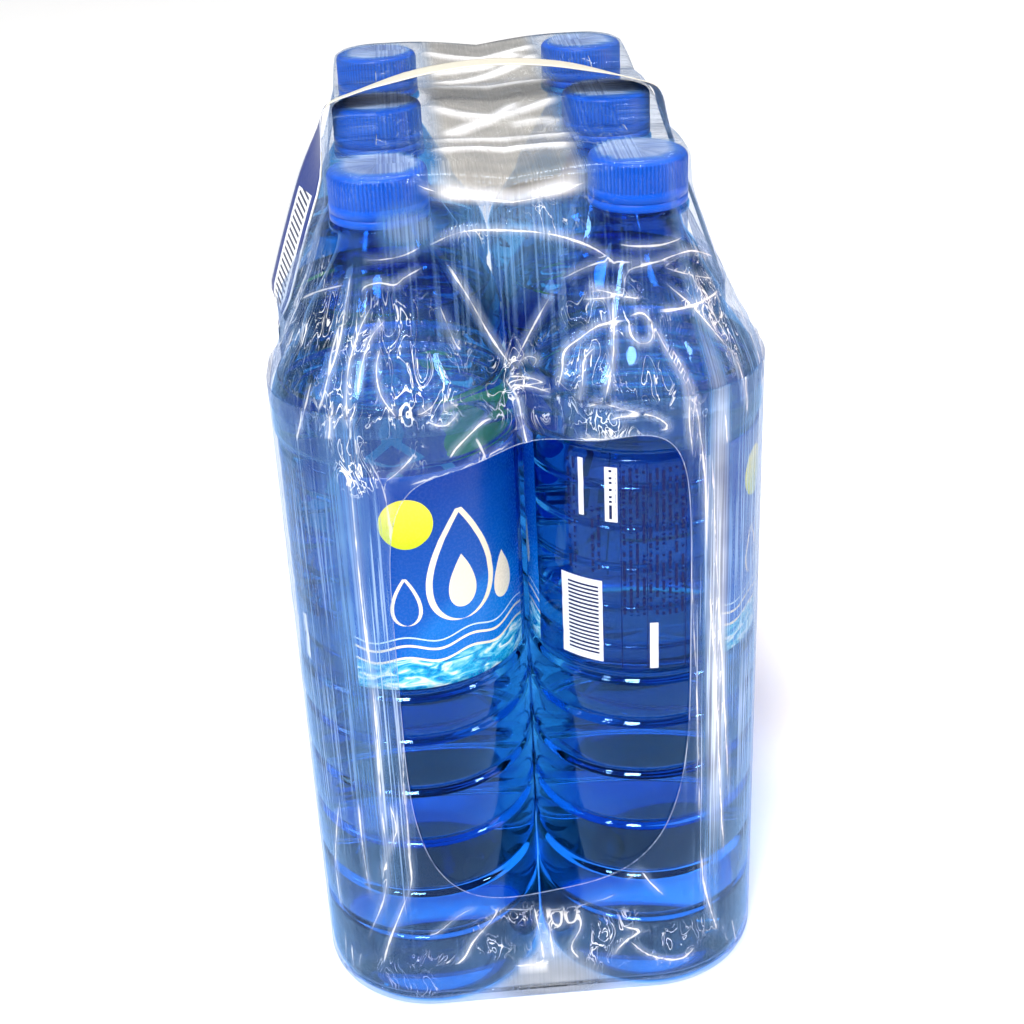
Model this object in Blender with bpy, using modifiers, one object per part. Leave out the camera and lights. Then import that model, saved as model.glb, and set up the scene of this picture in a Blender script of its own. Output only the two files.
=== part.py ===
"""Six large water bottles, two across and three deep, shrink-wrapped into one pack with a carrying strap.

X runs across the two columns, Y along the three rows and Z up. The pack stands on Z = 0, and its
front end, where the wrap leaves a wide opening, faces -Y.
"""

import math

import bmesh
import bpy

# Layout of the pack, in metres.
PITCH = 0.0870
COLUMNS = {"left": -0.5, "right": 0.5}
ROWS = {"front": -1.0, "middle": 0.0, "back": 1.0}
GAP = 0.0003
FACETS = 16
MERGE_DISTANCE = 0.00001

# Film wrap.
FILM_THICKNESS = 0.0006
CORNER_STEPS = 4

# Bottle: heights are measured from its own foot.
FOOT_HEIGHT = FILM_THICKNESS + GAP
BODY_RADIUS = (PITCH - GAP) / 2
WALL = 0.0012
PUNT_HEIGHT = 0.0050
FOOT_RADIUS = 0.0355
HEEL_RADIUS = 0.0415
HEEL_HEIGHT = 0.0042
HEEL_TOP = 0.0120
RIB_HEIGHTS = [0.1294, 0.1064, 0.0826, 0.0586, 0.0368]
RIB_DEPTH = 0.0022
RIB_HALF_WIDTH = 0.0026
LABEL_BOTTOM = 0.1495
LABEL_TOP = 0.2360
PANEL_RECESS = 0.0012
PANEL_RADIUS = BODY_RADIUS - PANEL_RECESS
LABEL_GROOVE_DROP = 0.0015
LABEL_GROOVE_DEPTH = 0.0022
WAIST_HEIGHT = 0.2377
WAIST_DEPTH = 0.0020
WAIST_HALF_WIDTH = 0.0016
SHOULDER_START = 0.2470
SHOULDER = [
    (0.0430, 0.2520),
    (0.0406, 0.2590),
    (0.0355, 0.2670),
    (0.0303, 0.2745),
    (0.0284, 0.2800),
    (0.0268, 0.2822),
    (0.0205, 0.2935),
    (0.0158, 0.3030),
]
NECK_RADIUS = 0.0146
RING_RADIUS = 0.0174
RING_BOTTOM = 0.3104
RING_TOP = 0.3126
FINISH_RADIUS = 0.0140
BORE_RADIUS = 0.0112
MOUTH_HEIGHT = 0.3276
HOLLOW_RADIUS = BODY_RADIUS - RIB_DEPTH - WALL
HOLLOW_FLOOR = PUNT_HEIGHT + WALL
HOLLOW_HEEL = 0.0110
HOLLOW_SHOULDER = [
    (HOLLOW_RADIUS, 0.2470),
    (0.0385, 0.2590),
    (0.0250, 0.2790),
]
HOLLOW_NECK_HEIGHT = 0.3010

# Water.
WATER_LEVEL = 0.2600

# Screw cap.
CAP_TOP = 0.3297
CAP_BOTTOM = 0.3130
CAP_RADIUS = 0.0168
CAP_EDGE = 0.0012
CAP_CEILING = MOUTH_HEIGHT + GAP
THREAD_CLEARANCE = 0.0004
CAP_BORE = FINISH_RADIUS + THREAD_CLEARANCE

# Label sleeve.
LABEL_THICKNESS = 0.0004
LABEL_INNER = PANEL_RADIUS + GAP

# Wrap profile: distance from the bottles' axes and height above the ground, from foot to top.
FILM_RADIUS = BODY_RADIUS + GAP + FILM_THICKNESS
FILM_TOP = FOOT_HEIGHT + CAP_TOP + GAP + FILM_THICKNESS
FILM_TOP_ROUNDING = 0.0019
FILM_PROFILE = [
    (0.0375, 0.0),
    (0.0424, 0.0024),
    (FILM_RADIUS, 0.0085),
    (FILM_RADIUS, 0.2500),
    (0.0424, 0.2600),
    (0.0340, 0.2770),
    (0.0254, 0.2960),
    (0.0182, 0.3200),
    (0.0180, FILM_TOP - FILM_TOP_ROUNDING),
    (0.0162, FILM_TOP),
]
# Between the two columns the top sags, and the end walls are drawn in above their openings.
STRIP_HALF_WIDTH = 0.0240
TOP_SAG = 0.0040
VALLEY_DIP = 0.0080
VALLEY_CENTRE = 0.2500
VALLEY_REACH = 0.0250
ROW_DIGITS = 6

# Opening that the wrap leaves at each end.
OPENING_CENTRE = (0.0030, 0.1495)
OPENING_HALF_WIDTH = 0.0525
OPENING_HALF_HEIGHT = 0.0930
OPENING_SQUARENESS = 3.4
OPENING_SLANT = 0.15
OPENING_POINTS = 32
CUTTER_LENGTH = 0.40

# Carrying strap: the right half of its middle line, from the crown of the arch down the side.
STRAP_WIDTH = 0.0250
STRAP_THICKNESS = 0.0008
STRAP_SIDE = PITCH / 2 + FILM_RADIUS + GAP + STRAP_THICKNESS / 2
STRAP_END = 0.2000
STRAP_ROUTE = [
    (0.0, 0.3432),
    (0.0130, 0.3426),
    (0.0270, 0.3408),
    (0.0420, 0.3374),
    (0.0530, 0.3340),
    (0.0602, 0.3324),
    (0.0638, 0.3280),
    (0.0654, 0.3200),
    (0.0701, 0.3060),
    (0.0772, 0.2870),
    (0.0864, 0.2625),
    (STRAP_SIDE, 0.2510),
    (STRAP_SIDE, STRAP_END),
]


def clear_scene():
    for old in list(bpy.data.objects):
        bpy.data.objects.remove(old, do_unlink=True)


def make_collection(name):
    group = bpy.data.collections.new(name)
    bpy.context.scene.collection.children.link(group)
    return group


def make_material(name, colour, roughness, transmission=0.0):
    material = bpy.data.materials.new(name)
    material.use_nodes = True
    shader = material.node_tree.nodes["Principled BSDF"]
    shader.inputs["Base Color"].default_value = (*colour, 1.0)
    shader.inputs["Roughness"].default_value = roughness
    shader.inputs["Metallic"].default_value = 0.0
    shader.inputs["Transmission Weight"].default_value = transmission
    return material


def turned_mesh(name, profile):
    """A line of (radius, height) points in the XZ plane, to be turned by a Screw modifier."""
    mesh = bpy.data.meshes.new(name)
    points = [(radius, 0.0, height) for radius, height in profile]
    edges = [(index, index + 1) for index in range(len(points) - 1)]
    mesh.from_pydata(points, edges, [])
    return mesh


def place(name, mesh, group, material, location=(0.0, 0.0, 0.0)):
    piece = bpy.data.objects.new(name, mesh)
    piece.location = location
    group.objects.link(piece)
    if not mesh.materials:
        mesh.materials.append(material)
    return piece


def turn(piece):
    """Sweeps the piece's profile once round its own upright axis."""
    screw = piece.modifiers.new("turn", "SCREW")
    screw.axis = "Z"
    screw.angle = math.tau
    screw.steps = FACETS
    screw.render_steps = FACETS
    screw.use_merge_vertices = True
    screw.merge_threshold = MERGE_DISTANCE
    screw.use_smooth_shade = False


def bottle_profile():
    """The wall, from the middle of the hollow's floor up to the mouth and down outside to the punt."""
    inside = [(0.0, HOLLOW_FLOOR)]
    inside.append((FOOT_RADIUS, HOLLOW_FLOOR))
    inside.append((HOLLOW_RADIUS, HOLLOW_HEEL))
    inside += HOLLOW_SHOULDER
    inside.append((BORE_RADIUS, HOLLOW_NECK_HEIGHT))
    inside.append((BORE_RADIUS, MOUTH_HEIGHT))
    outside = [(FINISH_RADIUS, MOUTH_HEIGHT), (FINISH_RADIUS, RING_TOP)]
    outside += [(RING_RADIUS, RING_TOP), (RING_RADIUS, RING_BOTTOM), (NECK_RADIUS, RING_BOTTOM)]
    outside += reversed(SHOULDER)
    outside.append((BODY_RADIUS, SHOULDER_START))
    outside.append((BODY_RADIUS, WAIST_HEIGHT + WAIST_HALF_WIDTH))
    outside.append((BODY_RADIUS - WAIST_DEPTH, WAIST_HEIGHT))
    outside.append((PANEL_RADIUS, LABEL_TOP))
    outside.append((PANEL_RADIUS, LABEL_BOTTOM))
    outside.append((BODY_RADIUS - LABEL_GROOVE_DEPTH, LABEL_BOTTOM - LABEL_GROOVE_DROP))
    outside.append((BODY_RADIUS, LABEL_BOTTOM - 2 * LABEL_GROOVE_DROP))
    for height in RIB_HEIGHTS:
        outside.append((BODY_RADIUS, height + RIB_HALF_WIDTH))
        outside.append((BODY_RADIUS - RIB_DEPTH, height))
        outside.append((BODY_RADIUS, height - RIB_HALF_WIDTH))
    outside += [(BODY_RADIUS, HEEL_TOP), (HEEL_RADIUS, HEEL_HEIGHT)]
    outside += [(FOOT_RADIUS, 0.0), (0.0, PUNT_HEIGHT)]
    return inside + outside


def hollow_radius(height):
    """The hollow's radius at a height on its shoulder."""
    for low, high in zip(HOLLOW_SHOULDER, HOLLOW_SHOULDER[1:]):
        if low[1] <= height <= high[1]:
            share = (height - low[1]) / (high[1] - low[1])
            return low[0] + share * (high[0] - low[0])
    return HOLLOW_RADIUS


def water_profile():
    """The drink, from the middle of its surface out and down to the middle of the floor."""
    surface = hollow_radius(WATER_LEVEL) - 2 * GAP
    points = [(0.0, WATER_LEVEL), (surface, WATER_LEVEL)]
    for radius, height in reversed(HOLLOW_SHOULDER):
        if height < WATER_LEVEL:
            points.append((radius - 2 * GAP, height))
    points.append((HOLLOW_RADIUS - 2 * GAP, HOLLOW_HEEL + GAP))
    points.append((FOOT_RADIUS - GAP, HOLLOW_FLOOR + GAP))
    points.append((0.0, HOLLOW_FLOOR + GAP))
    return points


def cap_profile():
    """The cap, from the middle of its top down outside, under the rim and up to the ceiling."""
    return [
        (0.0, CAP_TOP),
        (CAP_RADIUS - CAP_EDGE, CAP_TOP),
        (CAP_RADIUS, CAP_TOP - CAP_EDGE),
        (CAP_RADIUS, CAP_BOTTOM),
        (CAP_BORE, CAP_BOTTOM),
        (CAP_BORE, CAP_CEILING),
        (0.0, CAP_CEILING),
    ]


def label_profile():
    """The sleeve's section, as a closed ring of points that runs down outside."""
    outer = LABEL_INNER + LABEL_THICKNESS
    low = LABEL_BOTTOM + GAP
    high = LABEL_TOP - GAP
    return [(LABEL_INNER, high), (outer, high), (outer, low), (LABEL_INNER, low)]


def close_ring(mesh):
    """Joins the last point of a profile to its first."""
    shape = bmesh.new()
    shape.from_mesh(mesh)
    shape.verts.ensure_lookup_table()
    shape.edges.new((shape.verts[-1], shape.verts[0]))
    shape.to_mesh(mesh)
    shape.free()


def pack_outline(radius):
    """The taut loop round six circles of one radius, as points that run anticlockwise."""
    half_x = PITCH / 2
    corners = [(half_x, PITCH), (-half_x, PITCH), (-half_x, -PITCH), (half_x, -PITCH)]
    points = []
    for corner, (centre_x, centre_y) in enumerate(corners):
        for step in range(CORNER_STEPS + 1):
            angle = (corner + step / CORNER_STEPS) * math.pi / 2
            points.append((centre_x + radius * math.cos(angle), centre_y + radius * math.sin(angle)))
        edge_x, edge_y = points[-1]
        if corner % 2 == 0:
            towards = math.copysign(1.0, centre_x)
            points += [(towards * x, edge_y) for x in (STRIP_HALF_WIDTH, 0.0, -STRIP_HALF_WIDTH)]
        else:
            towards = math.copysign(1.0, centre_y)
            points += [(edge_x, towards * y) for y in (PITCH / 2, 0.0, -PITCH / 2)]
    return points


def top_height(x):
    """The wrap's top dips between the two columns of caps."""
    share = min(abs(x) / STRIP_HALF_WIDTH, 1.0)
    return FILM_TOP - TOP_SAG * (1.0 - share)


def wall_ring(radius, height):
    """One level of the wrap's wall. Between two end bottles it is drawn in a little."""
    ring = []
    for x, y in pack_outline(radius):
        across = max(1.0 - abs(x) / STRIP_HALF_WIDTH, 0.0)
        along = max(1.0 - abs(height - VALLEY_CENTRE) / VALLEY_REACH, 0.0)
        dip = VALLEY_DIP * across * along if abs(y) > PITCH else 0.0
        z = top_height(x) if height == FILM_TOP else height
        ring.append((x, y - math.copysign(dip, y), z))
    return ring


def fill_ring(shape, ring, height_at):
    """Closes a ring with strips across the pack, whose inner points lie at height_at(x)."""
    rows = {}
    for vert in ring:
        rows.setdefault(round(vert.co.y, ROW_DIGITS), []).append(vert)
    for y, row in rows.items():
        if len(row) == 2:
            for x in (STRIP_HALF_WIDTH, 0.0, -STRIP_HALF_WIDTH):
                row.append(shape.verts.new((x, y, height_at(x))))
        row.sort(key=lambda vert: vert.co.x)
    ordered = [rows[y] for y in sorted(rows)]
    for near, far in zip(ordered, ordered[1:]):
        for index in range(len(near) - 1):
            shape.faces.new((near[index], near[index + 1], far[index + 1], far[index]))


def film_mesh(name):
    """Lofts the wall's rings and closes the floor and the top."""
    shape = bmesh.new()
    rings = []
    for radius, height in FILM_PROFILE:
        rings.append([shape.verts.new(point) for point in wall_ring(radius, height)])
    for low, high in zip(rings, rings[1:]):
        for index in range(len(low)):
            after = (index + 1) % len(low)
            shape.faces.new((low[index], low[after], high[after], high[index]))
    fill_ring(shape, rings[0], lambda x: 0.0)
    fill_ring(shape, rings[-1], top_height)
    bmesh.ops.recalc_face_normals(shape, faces=shape.faces)
    mesh = bpy.data.meshes.new(name)
    shape.to_mesh(mesh)
    shape.free()
    return mesh


def opening_point(angle):
    """A point of the end opening's outline: a squarish oval whose right side sits higher."""
    power = 2.0 / OPENING_SQUARENESS
    across = math.copysign(abs(math.cos(angle)) ** power, math.cos(angle))
    up = math.copysign(abs(math.sin(angle)) ** power, math.sin(angle))
    x = OPENING_HALF_WIDTH * across
    z = OPENING_HALF_HEIGHT * up + OPENING_SLANT * x
    return OPENING_CENTRE[0] + x, OPENING_CENTRE[1] + z


def opening_cutter(group):
    """A long bar of the opening's outline, which cuts both end walls at once."""
    bpy.ops.mesh.primitive_cylinder_add(
        vertices=OPENING_POINTS, radius=1.0, depth=CUTTER_LENGTH, rotation=(math.pi / 2, 0.0, 0.0)
    )
    cutter = bpy.context.object
    bpy.ops.object.transform_apply(location=False, rotation=True, scale=False)
    for vertex in cutter.data.vertices:
        angle = math.atan2(vertex.co.z, vertex.co.x)
        x, z = opening_point(angle)
        vertex.co = (x, vertex.co.y, z)
    for owner in list(cutter.users_collection):
        owner.objects.unlink(cutter)
    group.objects.link(cutter)
    cutter.name = "cut_end_openings"
    cutter.hide_render = True
    cutter.display_type = "WIRE"
    return cutter


def build_film(group, cutters, material):
    film = place("film_wrap", film_mesh("film_wrap"), group, material)
    shell = film.modifiers.new("thickness", "SOLIDIFY")
    shell.thickness = FILM_THICKNESS
    shell.offset = -1.0
    shell.use_even_offset = True
    cut = film.modifiers.new("end_openings", "BOOLEAN")
    cut.operation = "DIFFERENCE"
    cut.solver = "EXACT"
    cut.object = opening_cutter(cutters)
    return film


def build_strap(group, material):
    """The right half is a flat ribbon that is open at the middle plane and mirrored there."""
    shape = bmesh.new()
    half = STRAP_WIDTH / 2
    near = [shape.verts.new((x, -half, z)) for x, z in STRAP_ROUTE]
    far = [shape.verts.new((x, half, z)) for x, z in STRAP_ROUTE]
    for index in range(len(STRAP_ROUTE) - 1):
        shape.faces.new((near[index], near[index + 1], far[index + 1], far[index]))
    mesh = bpy.data.meshes.new("carry_strap")
    shape.to_mesh(mesh)
    shape.free()
    strap = place("carry_strap", mesh, group, material)
    mirror = strap.modifiers.new("other_half", "MIRROR")
    mirror.use_axis = (True, False, False)
    mirror.use_clip = True
    mirror.merge_threshold = MERGE_DISTANCE
    ribbon = strap.modifiers.new("thickness", "SOLIDIFY")
    ribbon.thickness = STRAP_THICKNESS
    ribbon.offset = 0.0
    ribbon.use_even_offset = True
    return strap


def build_bottles(group, materials):
    bottle = turned_mesh("bottle", bottle_profile())
    water = turned_mesh("water", water_profile())
    cap = turned_mesh("cap", cap_profile())
    label = turned_mesh("label", label_profile())
    close_ring(label)
    meshes = {"bottle": bottle, "water": water, "cap": cap, "label": label}
    for row, along in ROWS.items():
        for column, across in COLUMNS.items():
            location = (across * PITCH, along * PITCH, FOOT_HEIGHT)
            for kind, mesh in meshes.items():
                piece = place(f"{kind}_{row}_{column}", mesh, group, materials[kind], location)
                turn(piece)


def main():
    clear_scene()
    pack = make_collection("six_pack_of_water_bottles")
    cutters = make_collection("cutters")
    materials = {
        "bottle": make_material("blue_clear_plastic", (0.10, 0.30, 0.80), 0.08, 0.8),
        "water": make_material("still_water", (0.05, 0.20, 0.75), 0.02, 0.9),
        "cap": make_material("blue_cap_plastic", (0.01, 0.10, 0.70), 0.35),
        "label": make_material("printed_film", (0.01, 0.12, 0.60), 0.30),
    }
    build_bottles(pack, materials)
    build_film(pack, cutters, make_material("clear_shrink_film", (0.85, 0.90, 0.98), 0.10, 0.9))
    build_strap(pack, make_material("strap_film", (0.80, 0.78, 0.70), 0.45))


main()
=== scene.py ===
"""The look of the six pack: clear blue bottles of water, caps, labels, shrink film and carrying strap.

Sizes are metres. X runs across the two columns, Y along the three rows, and the open end that the
photograph shows faces -Y.
"""

import math
import random

import bmesh
import bpy
import numpy as np
from mathutils import Matrix, Vector


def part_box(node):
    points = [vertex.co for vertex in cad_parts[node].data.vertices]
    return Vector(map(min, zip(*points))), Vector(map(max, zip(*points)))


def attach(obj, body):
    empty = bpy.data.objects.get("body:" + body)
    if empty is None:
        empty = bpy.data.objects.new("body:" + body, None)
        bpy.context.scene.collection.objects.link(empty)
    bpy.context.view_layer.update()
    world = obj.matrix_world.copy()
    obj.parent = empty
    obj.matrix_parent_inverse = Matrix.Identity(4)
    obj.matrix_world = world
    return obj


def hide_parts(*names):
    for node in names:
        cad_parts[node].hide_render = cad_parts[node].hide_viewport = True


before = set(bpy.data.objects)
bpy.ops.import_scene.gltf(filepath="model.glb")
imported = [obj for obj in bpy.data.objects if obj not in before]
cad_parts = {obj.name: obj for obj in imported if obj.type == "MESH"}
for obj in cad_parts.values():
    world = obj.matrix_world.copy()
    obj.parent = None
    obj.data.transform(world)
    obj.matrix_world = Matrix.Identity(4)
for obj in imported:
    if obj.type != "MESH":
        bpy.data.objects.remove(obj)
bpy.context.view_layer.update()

MM = 0.001
TO_MM = 1000
PITCH = 0.0870
COLUMNS = {"left": -0.5, "right": 0.5}
ROWS = {"front": -1.0, "middle": 0.0, "back": 1.0}
FOOT = 0.0009

# Bottle, with heights from its own foot.
BODY_RADIUS = 0.04335
PUNT_HEIGHT = 0.0050
RIB_HEIGHTS = [0.0368, 0.0586, 0.0826, 0.1064, 0.1294, 0.1480]
RIB_DEPTH = 0.0021
RIB_HALF_WIDTH = 0.0030
PANEL_BOTTOM = 0.1505
PANEL_TOP = 0.2362
PANEL_RADIUS = 0.04215
PANEL_RIB_HEIGHTS = [0.1617, 0.1780, 0.1937, 0.2096, 0.2254]
PANEL_RIB_DEPTH = 0.0011
PANEL_RIB_HALF_WIDTH = 0.0020
WAIST_HEIGHT = 0.2379
FOOT_OUTLINE = [
    (0.0, PUNT_HEIGHT),
    (0.0120, 0.0046),
    (0.0220, 0.0030),
    (0.0290, 0.0009),
    (0.0335, 0.0),
    (0.0368, 0.0001),
    (0.0398, 0.0012),
    (0.0419, 0.0036),
    (0.0430, 0.0075),
    (BODY_RADIUS, 0.0125),
]
SHOULDER = [
    (0.04335, 0.2400),
    (0.04335, 0.2470),
    (0.0430, 0.2520),
    (0.0406, 0.2590),
    (0.0355, 0.2670),
    (0.0303, 0.2745),
    (0.0287, 0.2792),
    (0.0270, 0.2824),
    (0.0205, 0.2935),
    (0.0160, 0.3020),
    (0.0146, 0.3070),
]
NECK_RADIUS = 0.0146
RING_RADIUS = 0.0174
RING_BOTTOM = 0.3104
RING_TOP = 0.3126
FINISH_RADIUS = 0.0138
MOUTH_HEIGHT = 0.3274
BOTTLE_WALL = 0.00035
BOTTLE_SIDES = 72

WATER_LEVEL = 0.2600
WATER_INSET = 0.0002
MENISCUS = 0.0007

CAP_TOP = 0.3297
CAP_BOTTOM = 0.3130
CAP_RADIUS = 0.0168
CAP_BORE = 0.0144
CAP_RIB_BOTTOM = 0.3193
CAP_RIBS = 76
CAP_RIB_DEPTH = 0.00050

LABEL_RADIUS = 0.0426
LABEL_THICKNESS = 0.0001
LABEL_SIDES = 96
LABEL_ROWS = 40
LABEL_BOTTOM = PANEL_BOTTOM + 0.0006
LABEL_TOP = PANEL_TOP - 0.0004
# How far the label sinks into each groove under it, and over what height.
LABEL_SINK = 0.00022
LABEL_SINK_REACH = 0.0016
LABEL_LENGTH = math.tau * LABEL_RADIUS
# Each label has two blue panels, whose middles are this many mm round from the middle of its small print.
PANEL_MIDDLE = 75.8
PANEL_HALF_WIDTH = 37.2
# How far each label is turned: the angle from +X, in degrees, of the middle of its small print.
LABEL_TURNS = {
    "front_left": -170.5,
    "front_right": -107.0,
    "middle_left": 20.0,
    "middle_right": -120.0,
    "back_left": 150.0,
    "back_right": 95.0,
}

# The design of a blue panel, in mm from its middle and up from the foot of the label.
CREAM_INK = "#F1EBD6"
SUN = (-15.0, 67.0, 0.0)
SUN_RADIUS = 9.5
SWELL = (24.0, -8.0, 0.0)
SWELL_OUTSIDE = 52.0
SWELL_INSIDE = 46.0
# Each drop: middle, foot and tip, half width, and the width of its line, or 0 where it is filled.
DROPS = [
    (4.0, 26.0, 70.0, 12.5, 2.4),
    (4.0, 31.0, 52.0, 5.5, 0.0),
    (23.0, 27.0, 46.0, 5.0, 0.0),
    (-17.0, 27.0, 46.0, 5.0, 1.3),
]
# The curve of a drop is 0.385 at its widest, and this brings it to the drop's half width.
DROP_FULLNESS = 2.6
WAVE_LENGTH = 24.0
WAVE_SWING = 1.3
# Each wave line: height, width and colour.
WAVE_LINES = [(21.0, 0.6, "#C8E4FA"), (17.6, 1.0, CREAM_INK)]
BAND_TOP = 12.6
BAND_RIM = 0.5
WATER_INKS = [(0.36, "#0A78C8"), (0.46, "#18A8DC"), (0.54, "#86D6EE"), (0.62, "#E6F6FA")]
# The small print, in mm from its middle: left, right, foot and top of each box.
PALE_BOXES = [
    (-24.0, -7.0, 3.5, 37.0),
    (-5.5, -1.0, 61.0, 82.0),
    (-15.4, -13.4, 62.0, 84.0),
    (10.0, 13.0, 2.0, 21.0),
]
BAR_BOX = (-21.0, -8.5, 5.5, 35.0)
BAR_SPACING = 1.6
DASH_BOXES = [
    (0.0, 23.0, 24.0, 82.0),
    (-21.0, -17.0, 40.0, 84.0),
    (-12.0, -7.2, 40.0, 66.0),
    (-5.0, -1.5, 62.0, 81.0),
]
DASH_COLUMN = 2.3
DASH_LENGTH = 0.9
# Half a dash's width as a share of its column, and the share of the places that have no dash.
DASH_REACH = 0.22
DASH_GAPS = 0.34
# Thin upright rules: how far across, and their half width, foot and top.
RULES = [0.0, 9.2, 23.0]
RULE_HALF_WIDTH = 0.15
RULE_FOOT = 2.0
RULE_TOP = 84.0

# Film: distance from the bottles' axes and height above the ground.
FILM_PROFILE = [
    (0.0375, 0.0002),
    (0.0414, 0.0012),
    (0.0436, 0.0048),
    (0.0440, 0.0095),
    (0.0440, 0.0300),
    (0.0440, 0.2420),
    (0.0438, 0.2510),
    (0.0424, 0.2600),
    (0.0388, 0.2685),
    (0.0341, 0.2775),
    (0.0298, 0.2865),
    (0.0256, 0.2960),
    (0.0216, 0.3080),
    (0.0186, 0.3180),
    (0.0179, 0.3250),
    (0.0176, 0.3291),
    (0.0165, 0.3310),
]
FILM_TOP = 0.3313
FILM_BODY_RADIUS = 0.0440
FILM_LENGTH = 2 * (3 * PITCH) + math.tau * FILM_BODY_RADIUS
# Radii of the rows under and over the pack, and how far apart the others are below each height.
FLOOR_RADII = (0.0, 0.0130, 0.0260, 0.0340)
TOP_RADII = (0.0150, 0.0100, 0.0050, 0.0)
ROW_STEPS = [(0.060, 0.0020), (0.225, 0.0036), (1.0, 0.0014)]
# The top sags between the caps, from the edge of a cap's top on.
TOP_SAG = 0.0042
CAP_EDGE = 0.0165
SAG_REACH = 0.045
SAG_FROM = 0.310
FILM_CLEARANCE = 0.00035
# The wrap is drawn in between the columns, in a valley at each end, and less between the rows.
VALLEY_DIP = 0.0125
VALLEY_HEIGHT = 0.246
VALLEY_ABOVE = 0.034
VALLEY_BELOW = 0.010
VALLEY_HALF_WIDTH = 0.030
SIDE_DIP = 0.0012
SIDE_VALLEY_DIP = 0.0045
SIDE_VALLEY_HEIGHT = 0.262
SIDE_VALLEY_REACH = 0.030
CORNER_BLEND = 0.010
RIM_BLEND = 0.020
# Folds fade out at these heights.
FOLDS_FOOT = 0.0015
FOLDS_TOP = 0.3300
# The slack strip along the middle of the top, greyed with painted shade.
TOP_DEPTH = 0.0120
STRIP_HALF_WIDTH = 0.0300
STRIP_BLEND = 0.0120
OPENING_CENTRE = (0.0030, 0.1495)
OPENING_HALF_WIDTH = 0.0525
OPENING_HALF_HEIGHT = 0.0930
OPENING_SQUARENESS = (3.2, 6.5)
OPENING_SLANT = 0.15

FILM_FOOT = 0.0002
FRONT_COLUMNS = 84
FRONT_CORNER_COLUMNS = 54
SIDE_COLUMNS = 48
BACK_CORNER_COLUMNS = 24
ROLLED_EDGE = 0.00018
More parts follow.
